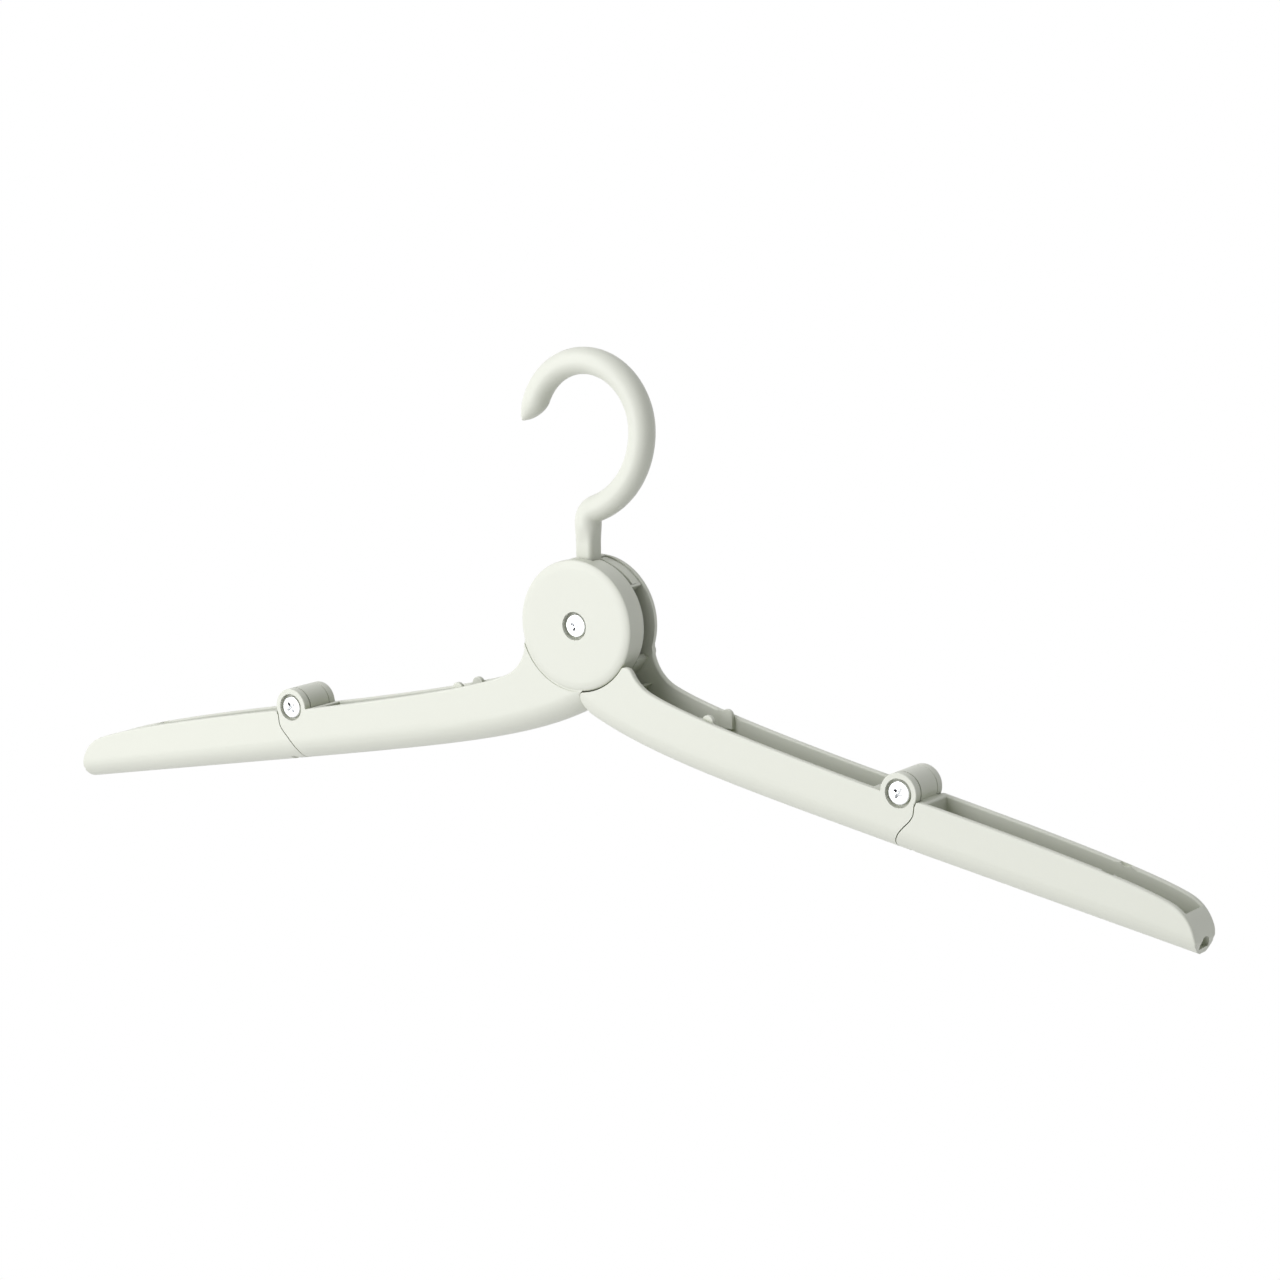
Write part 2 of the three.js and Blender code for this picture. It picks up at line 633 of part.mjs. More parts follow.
function named(name, solid, finish) {
  const mesh = new THREE.Mesh(geometryOf(solid), new THREE.MeshStandardMaterial(finish));
  mesh.name = name;
  return mesh;
}

// One side of the hanger, turned about Z for the left. Its screw still goes in from the front.
function side(name, turn) {
  const group = new THREE.Group();
  group.add(named(`${name}_inner_arm`, innerArm(), PLASTIC));
  group.add(named(`${name}_outer_arm`, outerArm(), PLASTIC));
  group.add(named(`${name}_hub_washer`, washer(), NYLON));
  const fasteners = new THREE.Group();
  fasteners.position.set(hinge.x, 0, hinge.y);
  fasteners.rotation.z = -turn;
  fasteners.add(named(`${name}_hinge_screw`, screw(armSide - HINGE_RECESS), CHROME));
  fasteners.add(named(`${name}_hinge_sleeve_nut`, sleeveNut(armSide - HINGE_RECESS), CHROME));
  group.add(fasteners);
  group.rotation.z = turn;
  return group;
}

function hanger() {
  const group = new THREE.Group();
  group.name = "folding_travel_hanger";
  group.position.z = -HANG_HEIGHT;
  group.add(named("hook", hook(), PLASTIC));
  group.add(named("hub_screw", screw(headFace - HUB_RECESS), CHROME));
  group.add(named("hub_sleeve_nut", sleeveNut(headFace - HUB_RECESS), CHROME));
  group.add(side("right", 0));
  group.add(side("left", Math.PI));
  return group;
}

const whole = new THREE.Group();
whole.add(hanger());
export default whole;
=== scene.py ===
"""Folding travel hanger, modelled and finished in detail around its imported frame.

The hanger hangs by the crown of its hook, which is the origin. Its hub and its two hinges turn about
axes along Y, and the front faces -Y. Both sides are the same mouldings, the left one turned half a
turn about the vertical. All sizes are in metres.
"""

import logging
import math
from collections.abc import Callable
from dataclasses import dataclass
from enum import Enum

import bmesh
import bpy
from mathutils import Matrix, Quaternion, Vector


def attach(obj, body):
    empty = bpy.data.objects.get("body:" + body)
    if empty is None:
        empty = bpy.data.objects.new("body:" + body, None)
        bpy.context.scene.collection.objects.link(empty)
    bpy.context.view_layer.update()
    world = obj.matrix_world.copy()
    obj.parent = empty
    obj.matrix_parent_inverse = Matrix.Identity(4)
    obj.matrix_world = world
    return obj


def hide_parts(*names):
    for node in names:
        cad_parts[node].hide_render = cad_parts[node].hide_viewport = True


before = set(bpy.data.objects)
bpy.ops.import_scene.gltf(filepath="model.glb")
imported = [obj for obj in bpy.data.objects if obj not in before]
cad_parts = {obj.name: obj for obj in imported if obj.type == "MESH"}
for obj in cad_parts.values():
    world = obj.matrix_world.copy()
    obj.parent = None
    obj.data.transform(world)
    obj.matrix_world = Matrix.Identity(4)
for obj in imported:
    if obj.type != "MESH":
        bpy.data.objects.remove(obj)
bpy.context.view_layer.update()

MM = 0.001
SHORTEST = 1e-6 * MM  # keeps a path's points apart in a division
Point = tuple[float, float]
Chooser = Callable[[Vector], float]
log = logging.getLogger("hanger")


class Side(Enum):
    """The two halves of the hanger, with the turn about Z that places each."""

    RIGHT = ("right", 0.0)
    LEFT = ("left", math.pi)

    @property
    def label(self) -> str:
        """Name used in nodes, bodies and pieces."""
        return self.value[0]

    @property
    def turn(self) -> float:
        """Turn about the vertical through the origin."""
        return self.value[1]


class Bool(Enum):
    """What a boolean modifier does with its tool."""

    CUT = "DIFFERENCE"
    JOIN = "UNION"
    KEEP = "INTERSECT"


@dataclass(frozen=True)
class Layout:
    """Sizes that more than one piece of the hanger follows."""

    gap: float = 0.3 * MM
    overrun: float = 3 * MM
    hang_height: float = 69.2 * MM
    arm_width: float = 14 * MM
    tip_width: float = 12.4 * MM
    wall: float = 1.8 * MM
    floor: float = 2 * MM
    stem_width: float = 5.8 * MM
    head_radius: float = 18.4 * MM
    head_proud: float = 0.4 * MM
    head_plate: float = 2.2 * MM
    eye_thickness: float = 5.8 * MM
    hinge_reach: float = 103.4 * MM
    hinge_drop: float = 34.5 * MM
    hinge_depth: float = 16.3 * MM
    arm_slope: float = 0.186
    hub_rise: float = 6.9 * MM
    hub_rise_run: float = 20 * MM
    neck_inset: float = 1 * MM
    neck_top: float = 5.5 * MM
    neck_radius: float = 12 * MM
    neck_turn: float = math.radians(66)
    mouth_end_gap: float = 1.9 * MM
    mouth_end_lift: float = 0.5 * MM
    mouth_end_slope: float = 0.2
    nest_gap_hub: float = 0.35 * MM
    nest_gap_hinge: float = 1.4 * MM
    ear_radius: float = 5.5 * MM
    ear_thickness: float = 2.6 * MM
    seam_start: float = math.radians(-32)
    seam_shares: tuple[Point, ...] = (
        (0.265, -0.33), (0.19, -0.445), (0.085, -0.55), (-0.018, -0.67), (-0.095, -0.8), (-0.12, -0.9),
    )
    nose_shares: tuple[Point, ...] = (
        (0.13, -0.978), (0.065, -1.06), (0.098, -1.196), (0.217, -1.315), (0.4, -1.45),
    )
    bore_radius: float = 2.6 * MM
    recess_radius: float = 4 * MM
    hub_recess: float = 1.9 * MM
    hinge_recess: float = 1.6 * MM
    tab_reach: float = 42.6 * MM
    tab_radius: float = 1.85 * MM
    tab_lift: float = 1.4 * MM
    tab_foot: float = 4 * MM
    tab_inward: float = 1.1 * MM
    tab_outward: float = 0.2 * MM
    close: float = 0.12 * MM
    head_sides: int = 192
    rim_sides: int = 160
    bore_sides: int = 64
    dome_steps: int = 16

    @property
    def side(self) -> float:
        """Outer face of an arm's wall, from the middle."""
        return self.arm_width / 2

    @property
    def channel_side(self) -> float:
        """Inner face of an arm's wall, from the middle."""
        return self.side - self.wall

    @property
    def head_face(self) -> float:
        """Face of a head, from the middle."""
        return self.side + self.head_proud

    @property
    def parting(self) -> float:
        """Level where the deep part of a head's rim ends, beside the other head's."""
        return self.gap / 2

    @property
    def rim_inside(self) -> float:
        """Level where the shallow part of a head's rim ends, in front of the stem."""
        return self.eye_thickness / 2 + self.gap

    @property
    def neck_centre(self) -> Vector:
        """Centre of the neck's flank, as X and Z."""
        return Vector((self.head_radius - self.neck_inset + self.neck_radius, -self.neck_top))

    @property
    def hinge(self) -> Vector:
        """Axis of the right hinge, as X and Z."""
        return Vector((self.hinge_reach, -self.hinge_drop))

    def underside(self, x: float) -> float:
        """Height of the underside of an arm.

        Args:
            x: Place along the arm, from the hub's axis.

        Returns:
            The height, from the hub's axis.
        """
        straight = -self.hinge_drop - self.hinge_depth - self.arm_slope * (x - self.hinge_reach)
        return straight + self.hub_rise * math.exp(-x / self.hub_rise_run)

    def half_width(self, x: float) -> float:
        """Half the width of an arm: even up to the hinge and then narrowing.

        Args:
            x: Place along the arm, from the hub's axis.

        Returns:
            Half the outer width there.
        """
        share = (x - self.hinge_reach) / (self.hinge_reach - self.head_radius)
        share = min(max(share, 0.0), 1.0)
        return self.side + (self.tip_width / 2 - self.side) * share

    def mouth(self, steps: int = 26) -> list[Vector]:
        """Mouth of the inner arm: the neck's flank and a slack curve to the hinge's ear.

        Args:
            steps: Number of spans in the slack curve.

        Returns:
            Points as X and Z.
        """
        neck = arc(self.neck_centre, self.neck_radius, math.pi, math.pi + self.neck_turn, steps // 2)
        start = neck.pop()
        slope = -1 / math.tan(self.neck_turn)
        end = self.hinge + Vector((-self.ear_radius - self.mouth_end_gap, self.mouth_end_lift))
        run = end.y + self.mouth_end_slope * end.x - start.y + slope * start.x
        knee_x = run / (slope + self.mouth_end_slope)
        knee = Vector((knee_x, start.y + slope * (knee_x - start.x)))
        curve = []
        for i in range(steps + 1):
            t = i / steps
            curve.append(start * (1 - t) ** 2 + knee * (2 * t * (1 - t)) + end * t ** 2)
        return neck + curve

    def mouth_height(self, x: float) -> float:
        """Height of the inner arm's mouth.

        Args:
            x: Place along the arm, beyond the neck.

        Returns:
            The height, from the hub's axis.
        """
        path = self.mouth()
        i = next(i for i, point in enumerate(path) if point.x > x)
        share = (x - path[i - 1].x) / (path[i].x - path[i - 1].x)
        return path[i - 1].y + (path[i].y - path[i - 1].y) * share

    def folded(self, points: list[Vector]) -> list[Vector]:
        """Points turned half a turn about the hinge, as the outer arm is when folded."""
        return [self.hinge * 2 - point for point in points]

    def folded_mouth(self) -> list[Vector]:
        """Mouth of the outer arm: the inner arm's, set off by the nesting gap and folded back."""
        spread = self.nest_gap_hinge - self.nest_gap_hub
        return self.folded(offset(self.mouth(), lambda share: self.nest_gap_hub + spread * share))

    def seam(self, steps: int = 24) -> list[Vector]:
        """Seam beside the hinge, from the ear down through the underside.

        Args:
            steps: Number of spans down to the last of the seam's points.

        Returns:
            Points as X and Z.
        """
        start = Vector((math.cos(self.seam_start), math.sin(self.seam_start))) * self.ear_radius
        knots = [start, *(Vector(share) * self.hinge_depth for share in self.seam_shares)]
        path = [point + self.hinge for point in smooth_through(knots, steps)]
        path.append(Vector((path[-1].x, self.underside(path[-1].x) - self.overrun)))
        return path

    def tab_outline(self, extra: float) -> list[Vector]:
        """Outline of a catch, with a half-round top.

        Args:
            extra: How much larger than the catch the outline is.

        Returns:
            Points as X and Z.
        """
        mouth = self.mouth_height(self.tab_reach)
        centre = Vector((self.tab_reach, mouth + self.tab_lift - self.tab_radius))
        dome = arc(centre, self.tab_radius + extra, 0, math.pi, self.dome_steps)
        foot = mouth - self.tab_foot
        return [*dome, Vector((dome[-1].x, foot)), Vector((dome[0].x, foot))]


def arc(centre: Vector, radius: float, start: float, end: float, steps: int) -> list[Vector]:
    """Points of an arc.

    Args:
        centre: Centre as X and Z.
        radius: Radius of the arc.
        start: First angle, round from +X.
        end: Last angle.
        steps: Number of spans.

    Returns:
        Points as X and Z, one more than the spans.
    """
    angles = [start + (end - start) * i / steps for i in range(steps + 1)]
    return [centre + Vector((math.cos(a), math.sin(a))) * radius for a in angles]


def offset(points: list[Vector], distance: Callable[[float], float]) -> list[Vector]:
    """A path moved to its left.

    Args:
        points: The path as X and Z.
        distance: How far, for a share of the way along.

    Returns:
        The moved path.
    """
    moved = []
    last = len(points) - 1
    for i, point in enumerate(points):
        along = (points[min(i + 1, last)] - points[max(i - 1, 0)]).normalized()
        moved.append(point + Vector((-along.y, along.x)) * distance(i / last))
    return moved


def away_from(path: list[Vector], point: Vector) -> float:
    """How far a point is from a path.

    Args:
        path: The path as X and Z.
        point: The point as X and Z.

    Returns:
        The distance to the path's nearest place.
    """
    nearest = math.inf
    for a, b in zip(path, path[1:]):
        along = b - a
        share = (point - a).dot(along) / max(along.length_squared, SHORTEST ** 2)
        nearest = min(nearest, (a + along * min(max(share, 0.0), 1.0) - point).length)
    return nearest


def smooth_through(knots: list[Vector], steps: int) -> list[Vector]:
    """A smooth curve through some points.

    Args:
        knots: The points that it passes through, as X and Z.
        steps: Number of spans in all.

    Returns:
        Points along the curve, even in the knots' count.
    """
    curve = []
    spans = len(knots) - 1
    for i in range(steps + 1):
        at = i / steps * spans
        k = min(int(at), spans - 1)
        t = at - k
        before, a, b, after = (knots[min(max(k + j, 0), spans)] for j in (-1, 0, 1, 2))
        pull_a, pull_b = (b - before) / 2, (after - a) / 2
        curve.append(
            a * (2 * t ** 3 - 3 * t ** 2 + 1) + pull_a * (t ** 3 - 2 * t ** 2 + t)
            + b * (3 * t ** 2 - 2 * t ** 3) + pull_b * (t ** 3 - t ** 2)
        )
    return curve


class Bench:
    """Modelling steps that every moulding uses, each on one object at a time."""

    same_place = 0.001 * MM
    shortest_edge = 0.02 * MM
    flat_angle = math.radians(0.2)
    wall_angle = 5 * flat_angle
    sharp_angle = math.radians(32)
    smooth_angle = math.radians(35)
    along_y = 0.9995

    @staticmethod
    def clear() -> None:
        """Deselects everything, so that an operator acts only on what is picked next."""
        if bpy.context.object and bpy.context.object.mode != "OBJECT":
            bpy.ops.object.mode_set(mode="OBJECT")
        bpy.ops.object.select_all(action="DESELECT")

    @staticmethod
    def pick(obj: bpy.types.Object) -> bpy.types.Object:
        """Makes one object the only selected and active one.

        Args:
            obj: The object.

        Returns:
            The same object.
        """
        Bench.clear()
        obj.select_set(True)
        bpy.context.view_layer.objects.active = obj
        return obj

    @staticmethod
    def settle(obj: bpy.types.Object) -> bpy.types.Object:
        """Puts an object's place and turn into its mesh, with the faces pointing out.

        Args:
            obj: The object.

        Returns:
            The same object, at the origin.
        """
        Bench.pick(obj)
        bpy.ops.object.transform_apply(location=True, rotation=True, scale=True)
        bpy.ops.object.mode_set(mode="EDIT")
        bpy.ops.mesh.select_all(action="SELECT")
        bpy.ops.mesh.remove_doubles(threshold=Bench.same_place)
        bpy.ops.mesh.normals_make_consistent(inside=False)
        bpy.ops.object.mode_set(mode="OBJECT")
        return obj

    @staticmethod
    def slab(points: list[Vector], low: float, high: float) -> bpy.types.Object:
        """A solid with an X-Z outline, between two levels of Y.

        Args:
            points: The outline.
            low: Front level.
            high: Back level.

        Returns:
            The new object.
        """
        Bench.clear()
        bpy.ops.mesh.primitive_circle_add(vertices=len(points), fill_type="NGON")
        obj = bpy.context.object
        for vertex, point in zip(obj.data.vertices, points):
            vertex.co = (point.x, low, point.y)
        bpy.ops.object.mode_set(mode="EDIT")
        bpy.ops.mesh.select_all(action="SELECT")
        bpy.ops.mesh.extrude_region_move(TRANSFORM_OT_translate={"value": (0, high - low, 0)})
        bpy.ops.object.mode_set(mode="OBJECT")
        return Bench.settle(obj)

    @staticmethod
    def disc(radius: float, low: float, high: float, centre: Vector | None = None,
             sides: int = 96) -> bpy.types.Object:
        """A round solid about the Y direction.

        Args:
            radius: Its radius.
            low: Front level.
            high: Back level.
            centre: Its axis as X and Z, or None for the hub's.
            sides: Number of sides.

        Returns:
            The new object.
        """
        x, z = centre if centre else (0.0, 0.0)
        Bench.clear()
        bpy.ops.mesh.primitive_cylinder_add(
            vertices=sides, radius=radius, depth=high - low, location=(x, (low + high) / 2, z),
            rotation=(math.pi / 2, 0, 0),
        )
        return Bench.settle(bpy.context.object)

    @staticmethod
    def ring(inner: float, outer: float, low: float, high: float, sides: int) -> bpy.types.Object:
        """A flat ring about the hub's axis between two radii and two levels of Y."""
        bore = Bench.disc(inner, low - MM, high + MM, sides=sides)
        return Bench.combine(Bench.disc(outer, low, high, sides=sides), bore, Bool.CUT)

    @staticmethod
    def bevel(obj: bpy.types.Object, chosen: Callable[[list[Vector]], bool], width: float,
              segments: int) -> None:
        """Bevels the edges that a test of their two ends picks.

        Args:
            obj: The object.
            chosen: Whether an edge with these ends is bevelled.
            width: Width of the bevel.
            segments: Faces across it.
        """
        Bench.pick(obj)
        bpy.ops.object.mode_set(mode="EDIT")
        bpy.ops.mesh.select_mode(type="EDGE")
        bpy.ops.mesh.select_all(action="DESELECT")
        bpy.ops.object.mode_set(mode="OBJECT")
        points = obj.data.vertices
        for edge in obj.data.edges:
            edge.select = chosen([points[v].co for v in edge.vertices])
        bpy.ops.object.mode_set(mode="EDIT")
        bpy.ops.mesh.bevel(offset=width, segments=segments)
        bpy.ops.object.mode_set(mode="OBJECT")

    @staticmethod
    def combine(obj: bpy.types.Object, tool: bpy.types.Object, how: Bool) -> bpy.types.Object:
        """Joins a tool to an object, cuts it out or keeps what they share.

        Args:
            obj: The object that is kept.
            tool: The other one, which is used up.
            how: What to do.

        Returns:
            The kept object.
        """
        Bench.pick(obj)
        modifier = obj.modifiers.new("combine", "BOOLEAN")
        modifier.operation = how.value
        modifier.solver = "EXACT"
        modifier.object = tool
        bpy.ops.object.modifier_apply(modifier=modifier.name)
        bpy.data.meshes.remove(tool.data)
        return obj

    @staticmethod
    def _weigh_edges(obj: bpy.types.Object, share: Chooser) -> None:
        """Clears splinters out of a moulding and marks how much each sharp outer edge is rounded.

        Args:
            obj: The moulding.
            share: The share of the widest rounding for an edge with this middle.
        """
        mesh = bmesh.new()
        mesh.from_mesh(obj.data)
        bmesh.ops.remove_doubles(mesh, verts=mesh.verts, dist=Bench.shortest_edge)
        bmesh.ops.dissolve_limit(mesh, angle_limit=Bench.flat_angle, verts=mesh.verts, edges=mesh.edges)
        mesh.normal_update()
        walls = [e for e in mesh.edges if all(abs(f.normal.y) > Bench.along_y for f in e.link_faces)]
        bmesh.ops.dissolve_limit(mesh, angle_limit=Bench.wall_angle, verts=mesh.verts, edges=walls)
        weights = mesh.edges.layers.float.get("bevel_weight_edge")
        if weights is None:
            weights = mesh.edges.layers.float.new("bevel_weight_edge")
        for edge in mesh.edges:
            between_two = len(edge.link_faces) == 2 and edge.is_convex
            if between_two and edge.calc_face_angle() > Bench.sharp_angle:
                edge[weights] = share((edge.verts[0].co + edge.verts[1].co) / 2)
        mesh.to_mesh(obj.data)
        mesh.free()

    @staticmethod
    def soften(obj: bpy.types.Object, width: float, share: Chooser, segments: int = 3) -> None:
        """Rounds the sharp outer edges of a moulding.

        Args:
            obj: The moulding.
            width: The widest rounding.
            share: The share of that width for an edge with this middle.
            segments: Faces across each rounding.
        """
        Bench.pick(obj)
        Bench._weigh_edges(obj, share)
        modifier = obj.modifiers.new("soften", "BEVEL")
        modifier.limit_method = "WEIGHT"
        modifier.width = width
        modifier.segments = segments
        modifier.use_clamp_overlap = False
        bpy.ops.object.modifier_apply(modifier=modifier.name)

    @staticmethod
    def smooth(obj: bpy.types.Object) -> None:
        """Smooths the shading except at sharp edges, and keeps flats flat.

        Args:
            obj: The finished piece.
        """
        Bench.pick(obj)
        bpy.ops.object.shade_smooth_by_angle(angle=Bench.smooth_angle)
        modifier = obj.modifiers.new("flats", "WEIGHTED_NORMAL")
        modifier.keep_sharp = True
        bpy.ops.object.modifier_apply(modifier=modifier.name)

    @staticmethod
    def place(obj: bpy.types.Object, turn: float, layout: Layout, moved: Vector | None = None) -> None:
        """Turns a piece about Z and lowers it from the hub's frame to the hanger's.

        Args:
            obj: The piece, modelled about the hub's axis.
            turn: Turn about Z.
            layout: Shared sizes.
            moved: Further move, as X and Z, or None.
        """
        x, z = moved if moved else (0.0, 0.0)
        Bench.pick(obj)
        obj.rotation_euler = (0, 0, turn)
        obj.location = (x, 0, z - layout.hang_height)
        bpy.ops.object.transform_apply(location=True, rotation=True, scale=True)


class Noise:
    """Builds the node group for the fine unevenness of moulded and plated surfaces."""

    name = "surface_grain"
    fine_detail = 3
    cloud_detail = 2
    fine_share = 0.35
    _group: bpy.types.NodeTree | None = None

    @classmethod
    def group(cls) -> bpy.types.NodeTree:
        """The shared group, built at its first use.

        Returns:
            A group with a fine and a cloud scale going in, and a mask and a height coming out.
        """
        if cls._group:
            return cls._group
        tree = bpy.data.node_groups.new(cls.name, "ShaderNodeTree")
        tree.interface.new_socket("Fine Scale", in_out="INPUT", socket_type="NodeSocketFloat")
        tree.interface.new_socket("Cloud Scale", in_out="INPUT", socket_type="NodeSocketFloat")
        tree.interface.new_socket("Mask", in_out="OUTPUT", socket_type="NodeSocketFloat")
        tree.interface.new_socket("Height", in_out="OUTPUT", socket_type="NodeSocketFloat")
        nodes, links = tree.nodes, tree.links
        inward = nodes.new("NodeGroupInput")
        outward = nodes.new("NodeGroupOutput")
        place = nodes.new("ShaderNodeTexCoord")
        fine = nodes.new("ShaderNodeTexNoise")
        fine.inputs["Detail"].default_value = cls.fine_detail
        cloud = nodes.new("ShaderNodeTexNoise")
        cloud.inputs["Detail"].default_value = cls.cloud_detail
        for noise, socket in ((fine, "Fine Scale"), (cloud, "Cloud Scale")):
            links.new(place.outputs["Object"], noise.inputs["Vector"])
            links.new(inward.outputs[socket], noise.inputs["Scale"])
        mix = nodes.new("ShaderNodeMath")
        mix.operation = "MULTIPLY_ADD"
        mix.inputs[1].default_value = cls.fine_share
        links.new(fine.outputs["Fac"], mix.inputs[0])
        links.new(cloud.outputs["Fac"], mix.inputs[2])
        links.new(mix.outputs[0], outward.inputs["Mask"])
        links.new(fine.outputs["Fac"], outward.inputs["Height"])
        cls._group = tree
        return tree


@dataclass(frozen=True)
class Finish:
    """A surface finish with a fine grain in its colour, gloss and relief."""

    name: str
    slot: str
    colour: tuple[float, float, float]
    shade: tuple[float, float, float]
    roughness: tuple[float, float]
    metallic: float = 0.0
    ior: float = 1.46
    fine_scale: float = 2600.0
    cloud_scale: float = 45.0
    relief: float = 0.02 * MM
    relief_strength: float = 0.12
    # Darker olive colour for diffusely bounced light: painted shade in the hollows and channels.
    painted_shade_bounce: tuple[float, float, float] | None = None

    def material(self) -> bpy.types.Material:
        """The material of this finish, built at its first use."""
        known = bpy.data.materials.get(self.name)
        return known or self._build()

    def _build(self) -> bpy.types.Material:
        """Builds the material's nodes.

        Returns:
            The new material.
        """
        material = bpy.data.materials.new(self.name)
        material.use_nodes = True
        tree = material.node_tree
        shader = tree.nodes["Principled BSDF"]
        shader.inputs["Metallic"].default_value = self.metallic
        shader.inputs["IOR"].default_value = self.ior
        grain = tree.nodes.new("ShaderNodeGroup")
        grain.node_tree = Noise.group()
        grain.inputs["Fine Scale"].default_value = self.fine_scale
        grain.inputs["Cloud Scale"].default_value = self.cloud_scale
        self._tint(tree, grain, shader)
        self._gloss(tree, grain, shader)
        self._relief(tree, grain, shader)
        return material

    def _tint(self, tree: bpy.types.NodeTree, grain: bpy.types.Node, shader: bpy.types.Node) -> None:
        """Mixes the two tones by the grain, and gives diffusely bounced light a darker olive colour:
        painted shade in the hollows and channels.

        Args:
            tree: The material's nodes.
            grain: The grain's group.
            shader: The material's shader.
        """
        tint = tree.nodes.new("ShaderNodeMix")
        tint.data_type = "RGBA"
        tint.inputs["A"].default_value = (*self.shade, 1)
        tint.inputs["B"].default_value = (*self.colour, 1)
        tree.links.new(grain.outputs["Mask"], tint.inputs["Factor"])
        tree.links.new(tint.outputs["Result"], shader.inputs["Base Color"])
        if self.painted_shade_bounce:
            path = tree.nodes.new("ShaderNodeLightPath")
            # Painted shade: diffuse bounces see the darker olive colour, which darkens the hollows and
            # channels.
            painted_shade_mix = tree.nodes.new("ShaderNodeMix")
            painted_shade_mix.data_type = "RGBA"
            painted_shade_mix.inputs["B"].default_value = (*self.painted_shade_bounce, 1)
            tree.links.new(path.outputs["Is Diffuse Ray"], painted_shade_mix.inputs["Factor"])
            tree.links.new(tint.outputs["Result"], painted_shade_mix.inputs["A"])
            tree.links.new(painted_shade_mix.outputs["Result"], shader.inputs["Base Color"])

    def _gloss(self, tree: bpy.types.NodeTree, grain: bpy.types.Node, shader: bpy.types.Node) -> None:
        """Varies the roughness by the grain.

        Args:
            tree: The material's nodes.
            grain: The grain's group.
            shader: The material's shader.
        """
        gloss = tree.nodes.new("ShaderNodeMapRange")
        gloss.inputs["To Min"].default_value = self.roughness[0]
        gloss.inputs["To Max"].default_value = self.roughness[1]
        tree.links.new(grain.outputs["Mask"], gloss.inputs["Value"])
        tree.links.new(gloss.outputs["Result"], shader.inputs["Roughness"])

    def _relief(self, tree: bpy.types.NodeTree, grain: bpy.types.Node, shader: bpy.types.Node) -> None:
        """Raises the grain a little.

        Args:
            tree: The material's nodes.
            grain: The grain's group.
            shader: The material's shader.
        """
        bump = tree.nodes.new("ShaderNodeBump")
        bump.inputs["Strength"].default_value = self.relief_strength
        bump.inputs["Distance"].default_value = self.relief
        tree.links.new(grain.outputs["Height"], bump.inputs["Height"])
        tree.links.new(bump.outputs["Normal"], shader.inputs["Normal"])

    def dress(self, piece: bpy.types.Object, body: str, replaced: str) -> None:
        """Gives a piece this finish and ties it to the frame.

        Args:
            piece: The finished piece.
            body: The body it moves with.
            replaced: The frame's node that it stands for.
        """
        piece.data.materials.clear()
        piece.data.materials.append(self.material())
        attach(piece, body)
        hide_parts(replaced)
        log.info("%s: %d faces, on %s", piece.name, len(piece.data.polygons), body)


# The plastic's bounce colour is painted shade: a darker olive for diffuse bounces darkens its hollows and
# channels.
SAGE_PLASTIC = Finish(
    name="sage_white_plastic", slot="plastic", colour=(0.815, 0.825, 0.76), shade=(0.80, 0.81, 0.745),
    roughness=(0.36, 0.44), painted_shade_bounce=(0.24, 0.28, 0.12),
)
CHROME_PLATE = Finish(
    name="chrome_plate", slot="chrome", colour=(0.86, 0.87, 0.88), shade=(0.78, 0.79, 0.80),
    roughness=(0.07, 0.14), metallic=1.0, fine_scale=900.0, relief_strength=0.05,
)
NATURAL_NYLON = Finish(
    name="natural_nylon", slot="nylon", colour=(0.78, 0.79, 0.74), shade=(0.72, 0.73, 0.68),
    roughness=(0.45, 0.55),
)


@dataclass
class Trough:
    """A bar with a fully rounded underside, the start of every arm and of the channel in it."""

    layout: Layout
    start: float
    end: float
    wall: float = 0.0
    floor: float = 0.0
    steps: int = 44
    sides: int = 32
    height: float = 50 * MM

    def build(self) -> bpy.types.Object:
        """Extrudes a round-bottomed section along the arm.

        Returns:
            The new object.
        """
        layout = self.layout
        radius = layout.half_width(self.start) - self.wall
        middle = layout.underside(self.start) + self.floor + radius
        top = middle + self.height
        corners = [Vector((radius, top)), Vector((-radius, top))]
        section = [*arc(Vector((0, middle)), radius, -math.pi, 0, self.sides), *corners]
        Bench.clear()
        bpy.ops.mesh.primitive_circle_add(vertices=len(section), fill_type="NGON")
        obj = bpy.context.object
        for vertex, point in zip(obj.data.vertices, section):
            vertex.co = (self.start, point.x, point.y)
        bpy.ops.object.mode_set(mode="EDIT")
        bpy.ops.mesh.select_all(action="SELECT")
        x = self.start
        for i in range(1, self.steps + 1):
            further = self.start + (self.end - self.start) * i / self.steps
            rise = layout.underside(further) - layout.underside(x)
            narrower = layout.half_width(further) - self.wall
            bpy.ops.mesh.extrude_region_move(TRANSFORM_OT_translate={"value": (further - x, 0, rise)})
            if narrower != radius:
                foot = (further, 0, layout.underside(further) + self.floor)
                share = narrower / radius
                bpy.ops.transform.resize(value=(1, share, share), center_override=foot)
            x, radius = further, narrower
        bpy.ops.object.mode_set(mode="OBJECT")
        return Bench.settle(obj)


